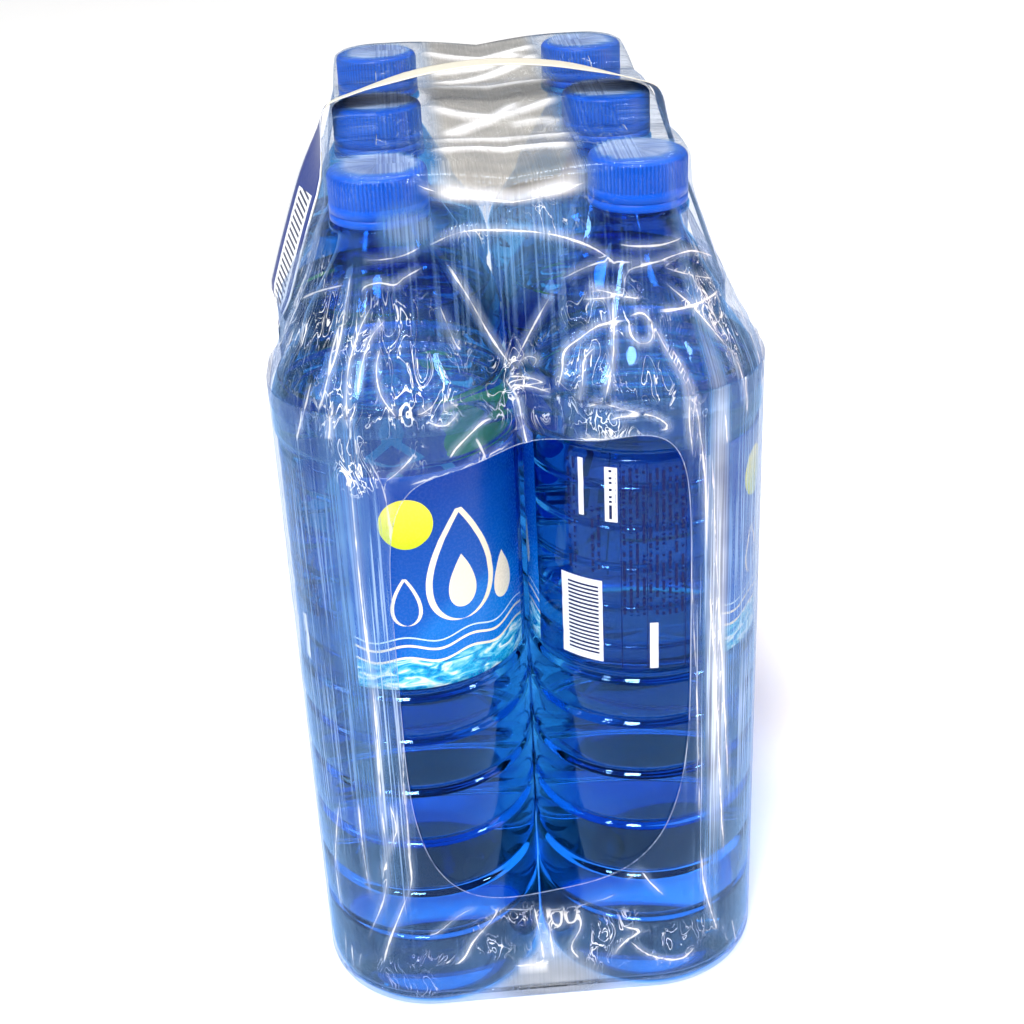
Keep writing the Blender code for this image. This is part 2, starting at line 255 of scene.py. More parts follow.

# Folds of the wrap's ends: rise and half width in mm, whiteness, and the route as (mm along the wrap from
# the end's middle, mm above the ground). They were followed on the photograph.
FOLD_FAR = 6.0
# Each fold's whiteness is the strength of the painted highlight along it.
END_FOLDS = [
    # Left shoulder.
    (0.9, 2.0, 0.9, [(-44, 288), (-51, 283), (-55, 274), (-56, 264)]),
    (0.8, 1.8, 0.8, [(-51, 292), (-56, 286), (-60, 276), (-60, 265), (-59, 254)]),
    (0.8, 1.8, 0.8, [(-64, 302), (-65, 293), (-66, 281), (-68, 271), (-70, 260)]),
    (0.5, 1.5, 0.6, [(-67, 287), (-69, 278), (-69, 266), (-71, 259)]),
    (0.7, 1.6, 0.8, [(-47, 280), (-49, 274), (-48, 267), (-45, 262), (-42, 258)]),
    (0.4, 2.2, 0.5, [(-58, 306), (-43, 306), (-36, 307), (-31, 309)]),
    (0.7, 1.7, 0.8, [(-57, 296), (-54, 298), (-46, 299), (-40, 298), (-37, 300), (-30, 303)]),
    (0.4, 1.6, 0.5, [(-105, 288), (-86, 294), (-67, 298)]),
    (0.5, 1.5, 0.6, [(-82, 245), (-77, 258), (-76, 268)]),
    (0.5, 1.5, 0.8, [(-65, 262), (-66, 253), (-67, 250)]),
    (0.6, 1.6, 0.9, [(-48, 236), (-43, 240), (-38, 245)]),
    (0.6, 1.6, 0.9, [(-26, 243), (-24, 246), (-19, 250), (-14, 253), (-11, 253)]),
    (0.6, 1.6, 0.9, [(-36, 259), (-33, 260), (-30, 262)]),
    (0.6, 1.6, 0.9, [(-33, 257), (-27, 255), (-22, 259)]),
    (0.6, 1.6, 0.9, [(-28, 259), (-25, 261), (-22, 261)]),
    (0.5, 1.5, 0.7, [(-17, 248), (-15, 243), (-14, 240)]),
    (0.5, 1.6, 0.6, [(-26, 291), (-22, 280), (-20, 277)]),
    # The pinch between the bottles.
    (1.0, 2.0, 0.9, [(-23, 304), (-16, 292), (-10, 280), (-4, 270), (-3, 268)]),
    (0.8, 1.8, 0.7, [(-5, 266), (1, 276), (7, 286), (12, 293)]),
    (1.0, 1.8, 1.0, [(-6, 266), (-4, 262), (-2, 258), (-1, 251), (0, 244), (1, 240)]),
    (0.7, 1.5, 1.0, [(-5, 266), (2, 265), (8, 263)]),
    (0.7, 1.5, 1.0, [(-5, 263), (2, 262), (10, 260)]),
    (0.6, 1.5, 0.9, [(-5, 266), (-1, 270), (2, 272), (5, 271), (3, 268)]),
    (0.5, 1.5, 0.6, [(-41, 234), (-30, 237), (-16, 240), (-4, 243)]),
    # Right shoulder, with the gather that looks like a star.
    (1.2, 3.2, 0.8, [(-29, 309), (-18, 313), (-5, 313), (10, 311), (20, 308), (28, 304), (37, 296)]),
    (0.6, 1.8, 0.7, [(34, 306), (41, 305), (55, 305), (69, 306)]),
    (0.7, 1.8, 0.8, [(35, 292), (36, 297), (41, 299), (59, 301), (73, 301), (86, 298), (96, 295)]),
    (0.6, 1.8, 0.7, [(14, 296), (21, 299), (29, 301), (41, 300), (60, 299)]),
    (0.9, 1.8, 1.0, [(22, 294), (32, 291), (40, 289)]),
    (0.6, 1.6, 0.9, [(21, 290), (32, 290)]),
    (0.7, 2.6, 1.0, [(31, 291), (30, 274), (26, 259)]),
    (0.9, 1.6, 1.0, [(36, 284), (40, 285), (43, 282), (43, 277), (39, 276), (36, 279), (36, 284)]),
    (1.3, 2.4, 1.0, [(43, 283), (47, 276), (51, 269), (54, 262), (54, 250), (56, 235)]),
    (0.9, 1.8, 0.9, [(50, 275), (54, 267), (56, 260), (58, 246), (60, 230), (62, 195)]),
    (0.7, 1.7, 0.9, [(36, 283), (26, 282), (19, 278), (14, 274), (13, 268), (11, 261)]),
    (0.6, 1.6, 0.8, [(25, 276), (22, 274), (20, 271), (19, 263), (18, 260), (19, 257)]),
    (0.7, 1.8, 0.9, [(19, 257), (25, 259), (34, 256), (43, 253), (47, 249), (44, 248)]),
    (0.6, 1.5, 0.9, [(28, 253), (31, 254), (38, 254)]),
    (0.8, 1.8, 0.9, [(16, 245), (21, 246), (28, 246), (38, 246), (44, 244), (46, 242)]),
    (0.9, 2.0, 0.8, [(51, 294), (64, 285), (73, 274), (78, 264), (79, 254), (81, 244)]),
    (0.6, 1.7, 0.6, [(66, 298), (72, 288), (76, 278), (79, 270)]),
    (0.6, 1.7, 0.8, [(47, 285), (64, 285), (86, 286)]),
    (0.5, 1.6, 0.6, [(52, 298), (68, 294), (85, 290)]),
    (0.5, 1.5, 0.6, [(68, 254), (70, 237)]),
    # The roll across the top, between the caps.
    (1.4, 3.0, 1.0, [(-31, 329), (-26, 327), (-17, 325), (-4, 324), (9, 324), (26, 327)]),
    # Lines drawn straight down beside the opening.
    (0.7, 1.6, 0.6, [(-60, 251), (-60, 189), (-59, 148), (-60, 103), (-60, 75), (-63, 55), (-73, 31)]),
    (0.7, 1.6, 0.5, [(-54, 246), (-50, 237), (-48, 225), (-48, 190), (-49, 149), (-51, 109), (-50, 81)]),
    (0.6, 1.5, 0.7, [(62, 195), (67, 134), (70, 87), (73, 56)]),
    (0.6, 1.5, 0.6, [(63, 240), (66, 190), (71, 130), (75, 80)]),
    (0.6, 1.5, 0.5, [(52, 225), (56, 180), (59, 120), (60, 80)]),
    # The gathers under the opening.
    (1.0, 2.2, 0.7, [(-50, 113), (-51, 81), (-51, 66), (-55, 54), (-62, 35), (-67, 18)]),
    (0.6, 1.6, 0.8, [(-26, 52), (-34, 48), (-42, 41), (-46, 39)]),
    (0.9, 1.9, 0.9, [(-18, 51), (-22, 44), (-29, 35), (-33, 27), (-37, 23)]),
    (0.7, 1.6, 0.9, [(-5, 50), (-3, 34), (-2, 22)]),
    (0.7, 1.6, 0.9, [(0, 49), (1, 34), (2, 22)]),
    (0.6, 1.5, 0.8, [(1, 49), (2, 41), (5, 39), (6, 49)]),
    (0.6, 1.5, 0.8, [(7, 47), (8, 40), (11, 41), (12, 48)]),
    (0.8, 1.7, 0.8, [(11, 48), (13, 38), (9, 28), (12, 21)]),
    (0.8, 1.7, 0.9, [(28, 36), (36, 33), (30, 28), (24, 20)]),
    (0.8, 1.7, 0.9, [(32, 28), (40, 20), (52, 16), (59, 20)]),
    (0.7, 1.6, 0.7, [(61, 67), (62, 52), (66, 35), (70, 22)]),
    (0.6, 1.6, 1.0, [(-13, 20), (-6, 20), (0, 20)]),
    (0.6, 1.8, 0.4, [(-24, 50), (-14, 49), (-6, 48), (5, 47), (21, 50), (29, 53)]),
    (0.7, 1.6, 0.8, [(31, 58), (36, 63), (40, 57), (46, 49)]),
    (0.6, 1.6, 0.7, [(-80, 96), (-87, 63), (-87, 38)]),
    (0.5, 1.5, 0.6, [(-70, 101), (-70, 77), (-69, 53)]),
    (0.6, 1.6, 0.8, [(-57, 103), (-55, 90), (-59, 80), (-63, 64)]),
]
# Folds of the top, in the same way, with the route in mm to the right and to the back of the pack's middle.
TOP_FOLDS = [
    (1.2, 6.0, 0.9, [(-27, -78), (-12, -70), (4, -69), (27, -80)]),
    (0.8, 5.0, 0.7, [(-27, -58), (-8, -52), (12, -54), (28, -62)]),
    (0.9, 5.0, 0.8, [(-28, -12), (-10, -22), (10, -20), (28, -10)]),
    (0.7, 5.0, 0.7, [(-27, 12), (-8, 22), (12, 24), (27, 14)]),
    (0.8, 4.0, 0.9, [(-22, 28), (-6, 40), (14, 58), (24, 66)]),
    (0.8, 4.0, 0.9, [(-24, 50), (-4, 58), (18, 72)]),
    (0.8, 5.0, 0.8, [(-27, 78), (-10, 72), (8, 74), (27, 80)]),
    (0.7, 4.0, 0.8, [(-20, -45), (-6, -30), (10, -8)]),
    (0.6, 4.0, 0.5, [(24, -38), (15, -33), (4, -34)]),
    (0.6, 4.0, 0.5, [(-60, -30), (-48, -42), (-40, -60)]),
    (0.6, 4.0, 0.5, [(60, -32), (50, -44), (42, -58)]),
    (0.6, 4.0, 0.5, [(-58, 34), (-50, 44), (-38, 52)]),
    (0.6, 4.0, 0.5, [(58, 32), (48, 44), (40, 56)]),
]
# Soft-edged ovals on the wrap's ends and sides: middle (along, up), half sizes in mm, and strength.
CRUMPLES = [
    (-45, 268, 28, 26, 1.0),
    (36, 268, 28, 26, 1.0),
    (0, 262, 14, 16, 0.9),
    (-57, 240, 8, 10, 0.9),
    (-15, 38, 22, 14, 0.7),
    (30, 30, 20, 14, 0.8),
    (52, 24, 20, 12, 0.6),
    (-52, 20, 18, 12, 0.8),
    (0, 318, 30, 10, 0.6),
    (-85, 284, 24, 22, 0.7),
    (85, 284, 24, 22, 0.7),
    (-130, 284, 30, 20, 0.7),
    (130, 284, 30, 20, 0.7),
    (-200, 284, 40, 20, 0.7),
    (200, 284, 40, 20, 0.7),
    (-150, 12, 70, 14, 0.5),
    (150, 12, 70, 14, 0.5),
]
DRAWN_STRIPS = [
    (-55, 150, 8, 105, 1.0),
    (-86, 160, 20, 120, 0.7),
    (-122, 160, 26, 130, 0.6),
    (62, 150, 9, 105, 1.0),
    (88, 160, 18, 120, 0.7),
    (122, 160, 26, 130, 0.6),
    (-170, 160, 34, 130, 0.5),
    (170, 160, 34, 130, 0.5),
    (0, 296, 60, 22, 0.25),
]
# Milky ovals, partly the film's own haze where it is thick and partly painted reflection: the strips at the
# right, the veils over the shoulders and the glare under the left front cap are painted reflections and
# highlights.
MILKY_AND_SHEEN = [
    (0, 322, 24, 30, 0.30),
    (0, 306, 8, 14, 0.26),
    (67, 170, 7, 140, 0.50),
    (2, 14, 22, 14, 0.42),
    (-34, 315, 13, 8, 0.34),
    (-42, 266, 30, 30, 0.13),
    (36, 266, 30, 32, 0.15),
    (-62, 160, 13, 150, 0.24),
    (-90, 160, 20, 150, 0.10),
    (92, 160, 26, 150, 0.26),
    (-155, 160, 60, 160, 0.04),
    (0, 22, 90, 22, 0.10),
    (155, 160, 60, 160, 0.08),
]

# How milky the film is at least, how crumpled and drawn its top is, and how milky that is beside the caps,
# along the slack strip between them and over them. Beside the caps and along the strip the milkiness is
# partly a painted reflection of a bright ceiling; over the caps it is painted reflection.
CLEAR_MILK = 0.012
TOP_CRUMPLE = 0.12
TOP_DRAWN = 0.10
BESIDE_MILK_AND_SHEEN = 0.05
TOP_MILK_AND_SHEEN = 0.36
PAINTED_CAP_REFLECTION = 0.42
# Cells of the film's noises in the wrap's length of 798 mm: a hairline is 0.9 mm wide and 80 mm long, and a
# crinkle 6 mm by 13 mm.
HAIRLINE_CELLS = (900.0, 10.0, 1.0)
CRINKLE_CELLS = (130.0, 62.0, 1.0)
# The numbers that each point of the film carries for its material.
FILM_VALUES = ["fold_across", "fold_away", "fold_white", "crumple", "drawn", "milk", "dull"]
# Places where painted grey shade darkens the film, too: the edge between the front caps and the pocket at the
# foot.
PAINTED_SHADE_PATCHES = [
    (0, 331, 24, 8, 1.0),
    (2, 10, 26, 16, 0.8),
]

STRAP_WIDTH = 0.0250
STRAP_THICKNESS = 0.0004
STRAP_CUTS = 7
# The right half of its middle line, as (distance from the pack's middle, height), and the heights of the
# points where it lies flat on the pack's side.
STRAP_ARCH = [
    (0.0, 0.3432),
    (0.0130, 0.3426),
    (0.0270, 0.3408),
    (0.0420, 0.3374),
    (0.0530, 0.3342),
    (0.0602, 0.3318),
    (0.0638, 0.3280),
    (0.0657, 0.3200),
    (0.0701, 0.3060),
    (0.0772, 0.2870),
    (0.0852, 0.2640),
]
STRAP_FLAT = [0.2520, 0.2380, 0.2200]
# How far the left arm's near edge turns in, for each unit of its width, and between which heights.
STRAP_TWIST = 0.36
STRAP_TWIST_FOOT = 0.2450
STRAP_TWIST_TOP = 0.3300
# How steeply the strap leans to the back where it crosses the top, and how much more near its ends.
STRAP_TILT = 0.125
STRAP_END_LEAN = 0.55
STRAP_END_LEAN_FROM = 0.0300
STRAP_LEAN_END = 0.0690
# The height of the place that the strap's inner face looks to.
STRAP_LOOKS_TO = 0.10
# Along the strap, in mm from its middle: where the cream part ends, and the white panel on each arm.
STRAP_CREAM_END = 64.0
STRAP_PANEL = (98.0, 150.0)
# From the strap's middle line, in shares of its width: where its white borders begin, and how far its panel
# and the panel's bars reach.
STRAP_BORDER_FROM = 0.44
STRAP_PANEL_REACH = 0.30
STRAP_BAR_REACH = 0.22
# The panel's bars: their spacing and slant in mm, and the share of the spacing that is dark.
STRAP_BAR_SPACING = 2.6
STRAP_BAR_SLANT = 7.0
STRAP_BAR_SHARE = 0.45

# What each face of the bottle's wall does to the light that crosses it.
PET_DEEP = "#BDE1F0"
PET_THIN = "#CBEAF6"
PET_MEAN = "#C4E5F3"
PET_NECK = "#A2D0F4"
NECK_TINT_FROM = 0.262
NECK_TINT_TO = 0.290

# The wide lamp that lights everything: where it shines from, its strength, and its width in degrees.
MAIN_LAMP = ((-0.30, -0.85, 1.35), 2.6, 12.0)
# The place that every lamp shines at, and then place, size, power and colour of the other soft lamps.
LAMPS_AIM = (0.0, 0.0, 0.18)
LAMPS = [
    ((-0.75, -0.85, 1.15), 0.16, 4.2, "#FFFFFF"),
    ((0.85, -0.55, 1.05), 0.14, 3.2, "#FFF4E8"),
    ((-0.15, -0.35, 1.45), 0.16, 4.2, "#FFFFFF"),
    ((0.15, 1.20, 2.00), 0.45, 13.0, "#FFFAF0"),
    ((1.10, -0.25, 0.45), 0.70, 5.0, "#FFD0C0"),
    ((-1.10, -0.20, 0.85), 0.34, 2.6, "#FFFFFF"),
]
# The camera that was fitted to the photograph: lens in mm, place, and turn in degrees.
CAMERA_LENS = 58.8066
CAMERA_PLACE = (-0.032397, -0.632342, 0.483490)
CAMERA_TURN = (62.4016, 2.3857, -4.2298)


def colour(code):
    """The linear colour of an sRGB hex code."""
    channels = [int(code[start : start + 2], 16) / 255.0 for start in (1, 3, 5)]
    linear = [c / 12.92 if c <= 0.04045 else ((c + 0.055) / 1.055) ** 2.4 for c in channels]
    return (*linear, 1.0)


def curve_through(points, steps):
    """A smooth line through the points, with that many steps in each span."""
    points = [Vector(point) for point in points]
    ends = [2 * points[0] - points[1], *points, 2 * points[-1] - points[-2]]
    line = [points[0]]
    for before, start, end, after in zip(ends, ends[1:], ends[2:], ends[3:]):
        for step in range(1, steps + 1):
            t = step / steps
            line.append(
                0.5
                * (
                    2 * start
                    + (end - before) * t
                    + (2 * before - 5 * start + 4 * end - after) * t * t
                    + (3 * start - before - 3 * end + after) * t * t * t
                )
            )
    return [tuple(point) for point in line]


def groove(radius, height, depth, half_width):
    """One round-bottomed groove of a turned wall, from below to above."""
    shape = [(-1.0, 0.0), (-0.72, 0.10), (-0.46, 0.48), (-0.22, 0.88), (0.0, 1.0)]
    shape += [(-along, share) for along, share in reversed(shape[:-1])]
    return [(radius - depth * share, height + half_width * along) for along, share in shape]


def bottle_profile():
    """The outside of a bottle, from the middle of its foot up to the mouth."""
    line = curve_through(FOOT_OUTLINE, 2)
    for height in RIB_HEIGHTS:
        middle = (line[-1][1] + height - RIB_HALF_WIDTH) / 2
        line.append((BODY_RADIUS - 0.00002, middle))
        line += groove(BODY_RADIUS - 0.00012, height, RIB_DEPTH, RIB_HALF_WIDTH)
    line[-1] = (PANEL_RADIUS, PANEL_BOTTOM + 0.0002)
    for height in PANEL_RIB_HEIGHTS:
        line += groove(PANEL_RADIUS, height, PANEL_RIB_DEPTH, PANEL_RIB_HALF_WIDTH)
    line += [(PANEL_RADIUS, PANEL_TOP), (PANEL_RADIUS - 0.0006, WAIST_HEIGHT - 0.0006)]
    line += [(PANEL_RADIUS - 0.0006, WAIST_HEIGHT), (PANEL_RADIUS + 0.0004, WAIST_HEIGHT + 0.0010)]
    line += curve_through(SHOULDER, 3)
    line += [(NECK_RADIUS, RING_BOTTOM - 0.0004), (NECK_RADIUS + 0.0004, RING_BOTTOM)]
    line += [(RING_RADIUS - 0.0004, RING_BOTTOM), (RING_RADIUS, RING_BOTTOM + 0.0005)]
    line += [(RING_RADIUS, RING_TOP - 0.0005), (RING_RADIUS - 0.0004, RING_TOP)]
    line += [(FINISH_RADIUS + 0.0003, RING_TOP), (FINISH_RADIUS, RING_TOP + 0.0004)]
    line.append((FINISH_RADIUS, MOUTH_HEIGHT))
    return line


def water_profile():
    """The drink: the bottle's own form a little inside the wall, up to the level shown."""
    outside = bottle_profile()
    line = []
    for before, point, after in zip(outside, outside[1:], outside[2:]):
        along = Vector((after[0] - before[0], after[1] - before[1])).normalized()
        if point[1] < WATER_LEVEL:
            line.append((point[0] - WATER_INSET * along.y, point[1] + WATER_INSET * along.x))
    line.insert(0, (0.0, PUNT_HEIGHT + WATER_INSET))
    edge = line[-1][0]
    line.append((edge - 0.0006, WATER_LEVEL + MENISCUS))
    line += [(edge - 0.0013, WATER_LEVEL + 0.2 * MENISCUS), (edge - 0.0028, WATER_LEVEL)]
    line.append((0.0, WATER_LEVEL))
    return line


def extrude_along(line):
    """Extrudes what is selected along the line, step by step."""
    for before, point in zip(line, line[1:]):
        step = (point[0] - before[0], 0.0, point[1] - before[1])
        bpy.ops.mesh.extrude_region_move(TRANSFORM_OT_translate={"value": step})


def spin_piece(name, profile, sides):
    """A turned piece: a point is extruded along the profile, and the line is spun round the axis."""
    bpy.ops.object.select_all(action="DESELECT")
    bpy.ops.mesh.primitive_circle_add(vertices=3, radius=MM)
    piece = bpy.context.object
    piece.name = name
    bpy.ops.object.mode_set(mode="EDIT")
    bpy.ops.mesh.select_all(action="SELECT")
    bpy.ops.mesh.merge(type="CENTER")
    bpy.ops.transform.translate(value=(profile[0][0], 0.0, profile[0][1]))
    extrude_along(profile)
    bpy.ops.mesh.select_all(action="SELECT")
    bpy.ops.mesh.spin(steps=sides, angle=math.tau, center=(0.0, 0.0, 0.0), axis=(0.0, 0.0, 1.0))
    bpy.ops.mesh.select_all(action="SELECT")
    bpy.ops.mesh.remove_doubles(threshold=0.00002)
    bpy.ops.mesh.normals_make_consistent(inside=False)
    bpy.ops.object.mode_set(mode="OBJECT")
    bpy.ops.object.shade_smooth()
    return piece


def give_wall(piece, thickness, offset=-1.0, inner_material=0):
    """Gives a skin its thickness, inwards unless the offset says otherwise."""
    wall = piece.modifiers.new("wall", "SOLIDIFY")
    wall.thickness = thickness
    wall.offset = offset
    wall.material_offset = inner_material
    bpy.context.view_layer.objects.active = piece
    bpy.ops.object.modifier_apply(modifier="wall")


def finish_piece(piece, node, material):
    """Gives a finished piece its material and its body, and hides the CAD node that it stands for."""
    if material:
        piece.data.materials.clear()
        piece.data.materials.append(material)
    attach(piece, "root")
    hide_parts(node)


def six_copies(pattern, kind, node_kind, material):
    """Puts a copy of the pattern, with its own mesh, at each of the six places."""
    copies = []
    for row, along in ROWS.items():
        for column, across in COLUMNS.items():
            copy = bpy.data.objects.new(f"{kind}_{row}_{column}", pattern.data.copy())
            bpy.context.scene.collection.objects.link(copy)
            copy.data.transform(Matrix.Translation((across * PITCH, along * PITCH, FOOT)))
            finish_piece(copy, f"{node_kind}_{row}_{column}", material)
            copies.append(copy)
    bpy.data.objects.remove(pattern)
    return copies


def make_bottles(outside, inside):
    pattern = spin_piece("bottle_pattern", bottle_profile(), BOTTLE_SIDES)
    pattern.data.materials.append(outside)
    pattern.data.materials.append(inside)
    give_wall(pattern, BOTTLE_WALL, inner_material=1)
    six_copies(pattern, "bottle_shell", "bottle", None)


def make_water(material):
    pattern = spin_piece("water_pattern", water_profile(), BOTTLE_SIDES)
    six_copies(pattern, "still_water", "water", material)


def cap_profile():
    """The outside of a cap from the middle of its top, then under its rim and up inside."""
    return [
        (0.0, CAP_TOP - 0.00015),
        (0.0080, CAP_TOP - 0.00010),
        (0.0138, CAP_TOP),
        (0.0152, CAP_TOP - 0.0001),
        (0.0162, CAP_TOP - 0.0006),
        (0.0166, CAP_TOP - 0.0013),
        (CAP_RADIUS, CAP_TOP - 0.0020),
        (CAP_RADIUS, CAP_RIB_BOTTOM + 0.0004),
        (CAP_RADIUS, CAP_RIB_BOTTOM),
        (CAP_RADIUS + 0.0001, CAP_RIB_BOTTOM - 0.0004),
        (CAP_RADIUS + 0.0001, CAP_BOTTOM + 0.0032),
        (CAP_RADIUS - 0.0003, CAP_BOTTOM + 0.0030),
        (CAP_RADIUS - 0.0003, CAP_BOTTOM + 0.0027),
        (CAP_RADIUS + 0.0001, CAP_BOTTOM + 0.0025),
        (CAP_RADIUS + 0.0001, CAP_BOTTOM + 0.0004),
        (CAP_RADIUS - 0.0004, CAP_BOTTOM),
        (CAP_BORE, CAP_BOTTOM),
        (CAP_BORE, MOUTH_HEIGHT + 0.0003),
        (0.0, MOUTH_HEIGHT + 0.0003),
    ]


def make_caps(material):
    """Every other line of the ribbed part is drawn in, which leaves the upright ribs."""
    pattern = spin_piece("cap_pattern", cap_profile(), 2 * CAP_RIBS)
    grooves = np.zeros(len(pattern.data.vertices))
    for vertex in pattern.data.vertices:
        radius = math.hypot(vertex.co.x, vertex.co.y)
        turn = math.atan2(vertex.co.y, vertex.co.x) / math.tau * 2 * CAP_RIBS
        ribbed = CAP_RIB_BOTTOM < vertex.co.z < CAP_TOP - 0.0010
        if ribbed and radius > CAP_BORE + 0.0005 and round(turn) % 2:
            share = (radius - CAP_RIB_DEPTH) / radius
            vertex.co.x *= share
            vertex.co.y *= share
            grooves[vertex.index] = 1.0
    # The grooves are marked for the painted shade that darkens them.
    add_values(pattern.data, "groove", grooves)
    six_copies(pattern, "screw_cap", "cap", material)


def make_labels(material):
    """Thin sleeves that follow the panel's grooves a little. The map runs in label lengths."""
    line = []
    for height in np.linspace(LABEL_BOTTOM, LABEL_TOP, LABEL_ROWS):
        near = min(abs(height - rib) for rib in PANEL_RIB_HEIGHTS)
        sunk = LABEL_SINK * math.exp(-((near / LABEL_SINK_REACH) ** 2))
        line.append((LABEL_RADIUS - sunk, height))
    pattern = spin_piece("label_pattern", line, LABEL_SIDES)
    give_wall(pattern, LABEL_THICKNESS)
    labels = six_copies(pattern, "label_sleeve", "label", material)
    for label in labels:
        place = label.name.replace("label_sleeve_", "")
        row, column = place.split("_")
        centre = Vector((COLUMNS[column] * PITCH, ROWS[row] * PITCH))
        turn = math.radians(LABEL_TURNS[place])
        layer = label.data.uv_layers.new(name="print")
        for face in label.data.polygons:
            angles = []
            for corner in face.loop_indices:
                point = label.data.vertices[label.data.loops[corner].vertex_index].co
                angles.append((math.atan2(point.y - centre.y, point.x - centre.x) - turn) % math.tau)
            if max(angles) - min(angles) > math.pi:
                angles = [angle if angle > math.pi else angle + math.tau for angle in angles]
            for corner, angle in zip(face.loop_indices, angles):
                height = label.data.vertices[label.data.loops[corner].vertex_index].co.z - FOOT
                layer.data[corner].uv = (angle / math.tau, (height - PANEL_BOTTOM) / LABEL_LENGTH)


def run_along(line):
    """How far along a line each of its points is."""
    return np.concatenate([[0.0], np.cumsum(np.hypot(*np.diff(line, axis=0).T))])


def film_columns():
    """The wrap's core points with their ways out, and how far along the wrap each of them is."""
    half_x = PITCH / 2
    core = []

    def straight(start, end, count, direction):
        for step in range(count):
            share = step / count
            place = [first + (last - first) * share for first, last in zip(start, end)]
            core.append((*place, *direction))

    def corner(centre, first, count):
        for step in range(count):
            angle = first + math.pi / 2 * step / count
            core.append((*centre, math.cos(angle), math.sin(angle)))

    straight((0.0, -PITCH), (half_x, -PITCH), FRONT_COLUMNS // 2, (0.0, -1.0))
    corner((half_x, -PITCH), -math.pi / 2, FRONT_CORNER_COLUMNS)
    straight((half_x, -PITCH), (half_x, PITCH), SIDE_COLUMNS, (1.0, 0.0))
    corner((half_x, PITCH), 0.0, BACK_CORNER_COLUMNS)
    straight((half_x, PITCH), (-half_x, PITCH), FRONT_COLUMNS, (0.0, 1.0))
    corner((-half_x, PITCH), math.pi / 2, BACK_CORNER_COLUMNS)
    straight((-half_x, PITCH), (-half_x, -PITCH), SIDE_COLUMNS, (-1.0, 0.0))
    corner((-half_x, -PITCH), math.pi, FRONT_CORNER_COLUMNS)
    straight((-half_x, -PITCH), (0.0, -PITCH), FRONT_COLUMNS // 2, (0.0, -1.0))
    core.append(core[0])
    core = np.array(core)
    points = core[:, :2] + FILM_BODY_RADIUS * core[:, 2:]
    return core, run_along(points)


def film_rows():
    """Distance from the bottles' axes and height of each row, from under the pack to its top."""
    line = np.array(curve_through(FILM_PROFILE, 6))
    reach = run_along(line)
    rows = [(radius, FILM_FOOT) for radius in FLOOR_RADII]
    position = 0.0
    while position < reach[-1]:
        radius = float(np.interp(position, reach, line[:, 0]))
        height = float(np.interp(position, reach, line[:, 1]))
        rows.append((radius, height))
        position += next(step for below, step in ROW_STEPS if height < below)
    return np.array(rows + [(radius, FILM_TOP) for radius in TOP_RADII])


def smooth_share(value):
    value = np.clip(value, 0.0, 1.0)
    return value * value * (3.0 - 2.0 * value)


def nearest_axis(points):
    """Distance from the nearest bottle's axis, and the way out from it, of each point."""
    best = np.full(len(points), 9.0)
    way = np.zeros((len(points), 2))
    for along in ROWS.values():
        for across in COLUMNS.values():
            offset = points[:, :2] - np.array([across * PITCH, along * PITCH])
            distance = np.hypot(*offset.T)
            closer = distance < best
            best[closer] = distance[closer]
            way[closer] = offset[closer] / np.maximum(distance[closer], 1e-9)[:, None]
    return best, way


def bottle_reach(heights):
    """The widest that a capped bottle is at each height above the ground."""
    cap = [(CAP_RADIUS, CAP_BOTTOM), (CAP_RADIUS, CAP_TOP - 0.0012), (0.0152, CAP_TOP)]
    line = np.array(bottle_profile() + cap)
    order = np.argsort(line[:, 1], kind="stable")
    return np.interp(heights - FOOT, line[order, 1], line[order, 0])


def film_dip(points):
    """How far the taut film is drawn in between the bottles."""
    x, y, z = points.T
    front = smooth_share((np.abs(y) - PITCH) / CORNER_BLEND)
    across = smooth_share(1.0 - np.abs(x) / VALLEY_HALF_WIDTH) ** 1.2
    reach = np.where(z < VALLEY_HEIGHT, VALLEY_BELOW, VALLEY_ABOVE)
    dip = VALLEY_DIP * front * across * np.exp(-(((z - VALLEY_HEIGHT) / reach) ** 2))
    side = smooth_share((np.abs(x) - PITCH / 2) / CORNER_BLEND)
    gap = np.abs(np.abs(y) - PITCH / 2)
    between = smooth_share(1.0 - gap / VALLEY_HALF_WIDTH)
    valley = np.exp(-(((z - SIDE_VALLEY_HEIGHT) / SIDE_VALLEY_REACH) ** 2))
    dip += side * between * (SIDE_DIP + SIDE_VALLEY_DIP * valley) * (np.abs(y) < PITCH)
    return dip * smooth_share(z / RIM_BLEND) * smooth_share((FILM_TOP - z) / RIM_BLEND)


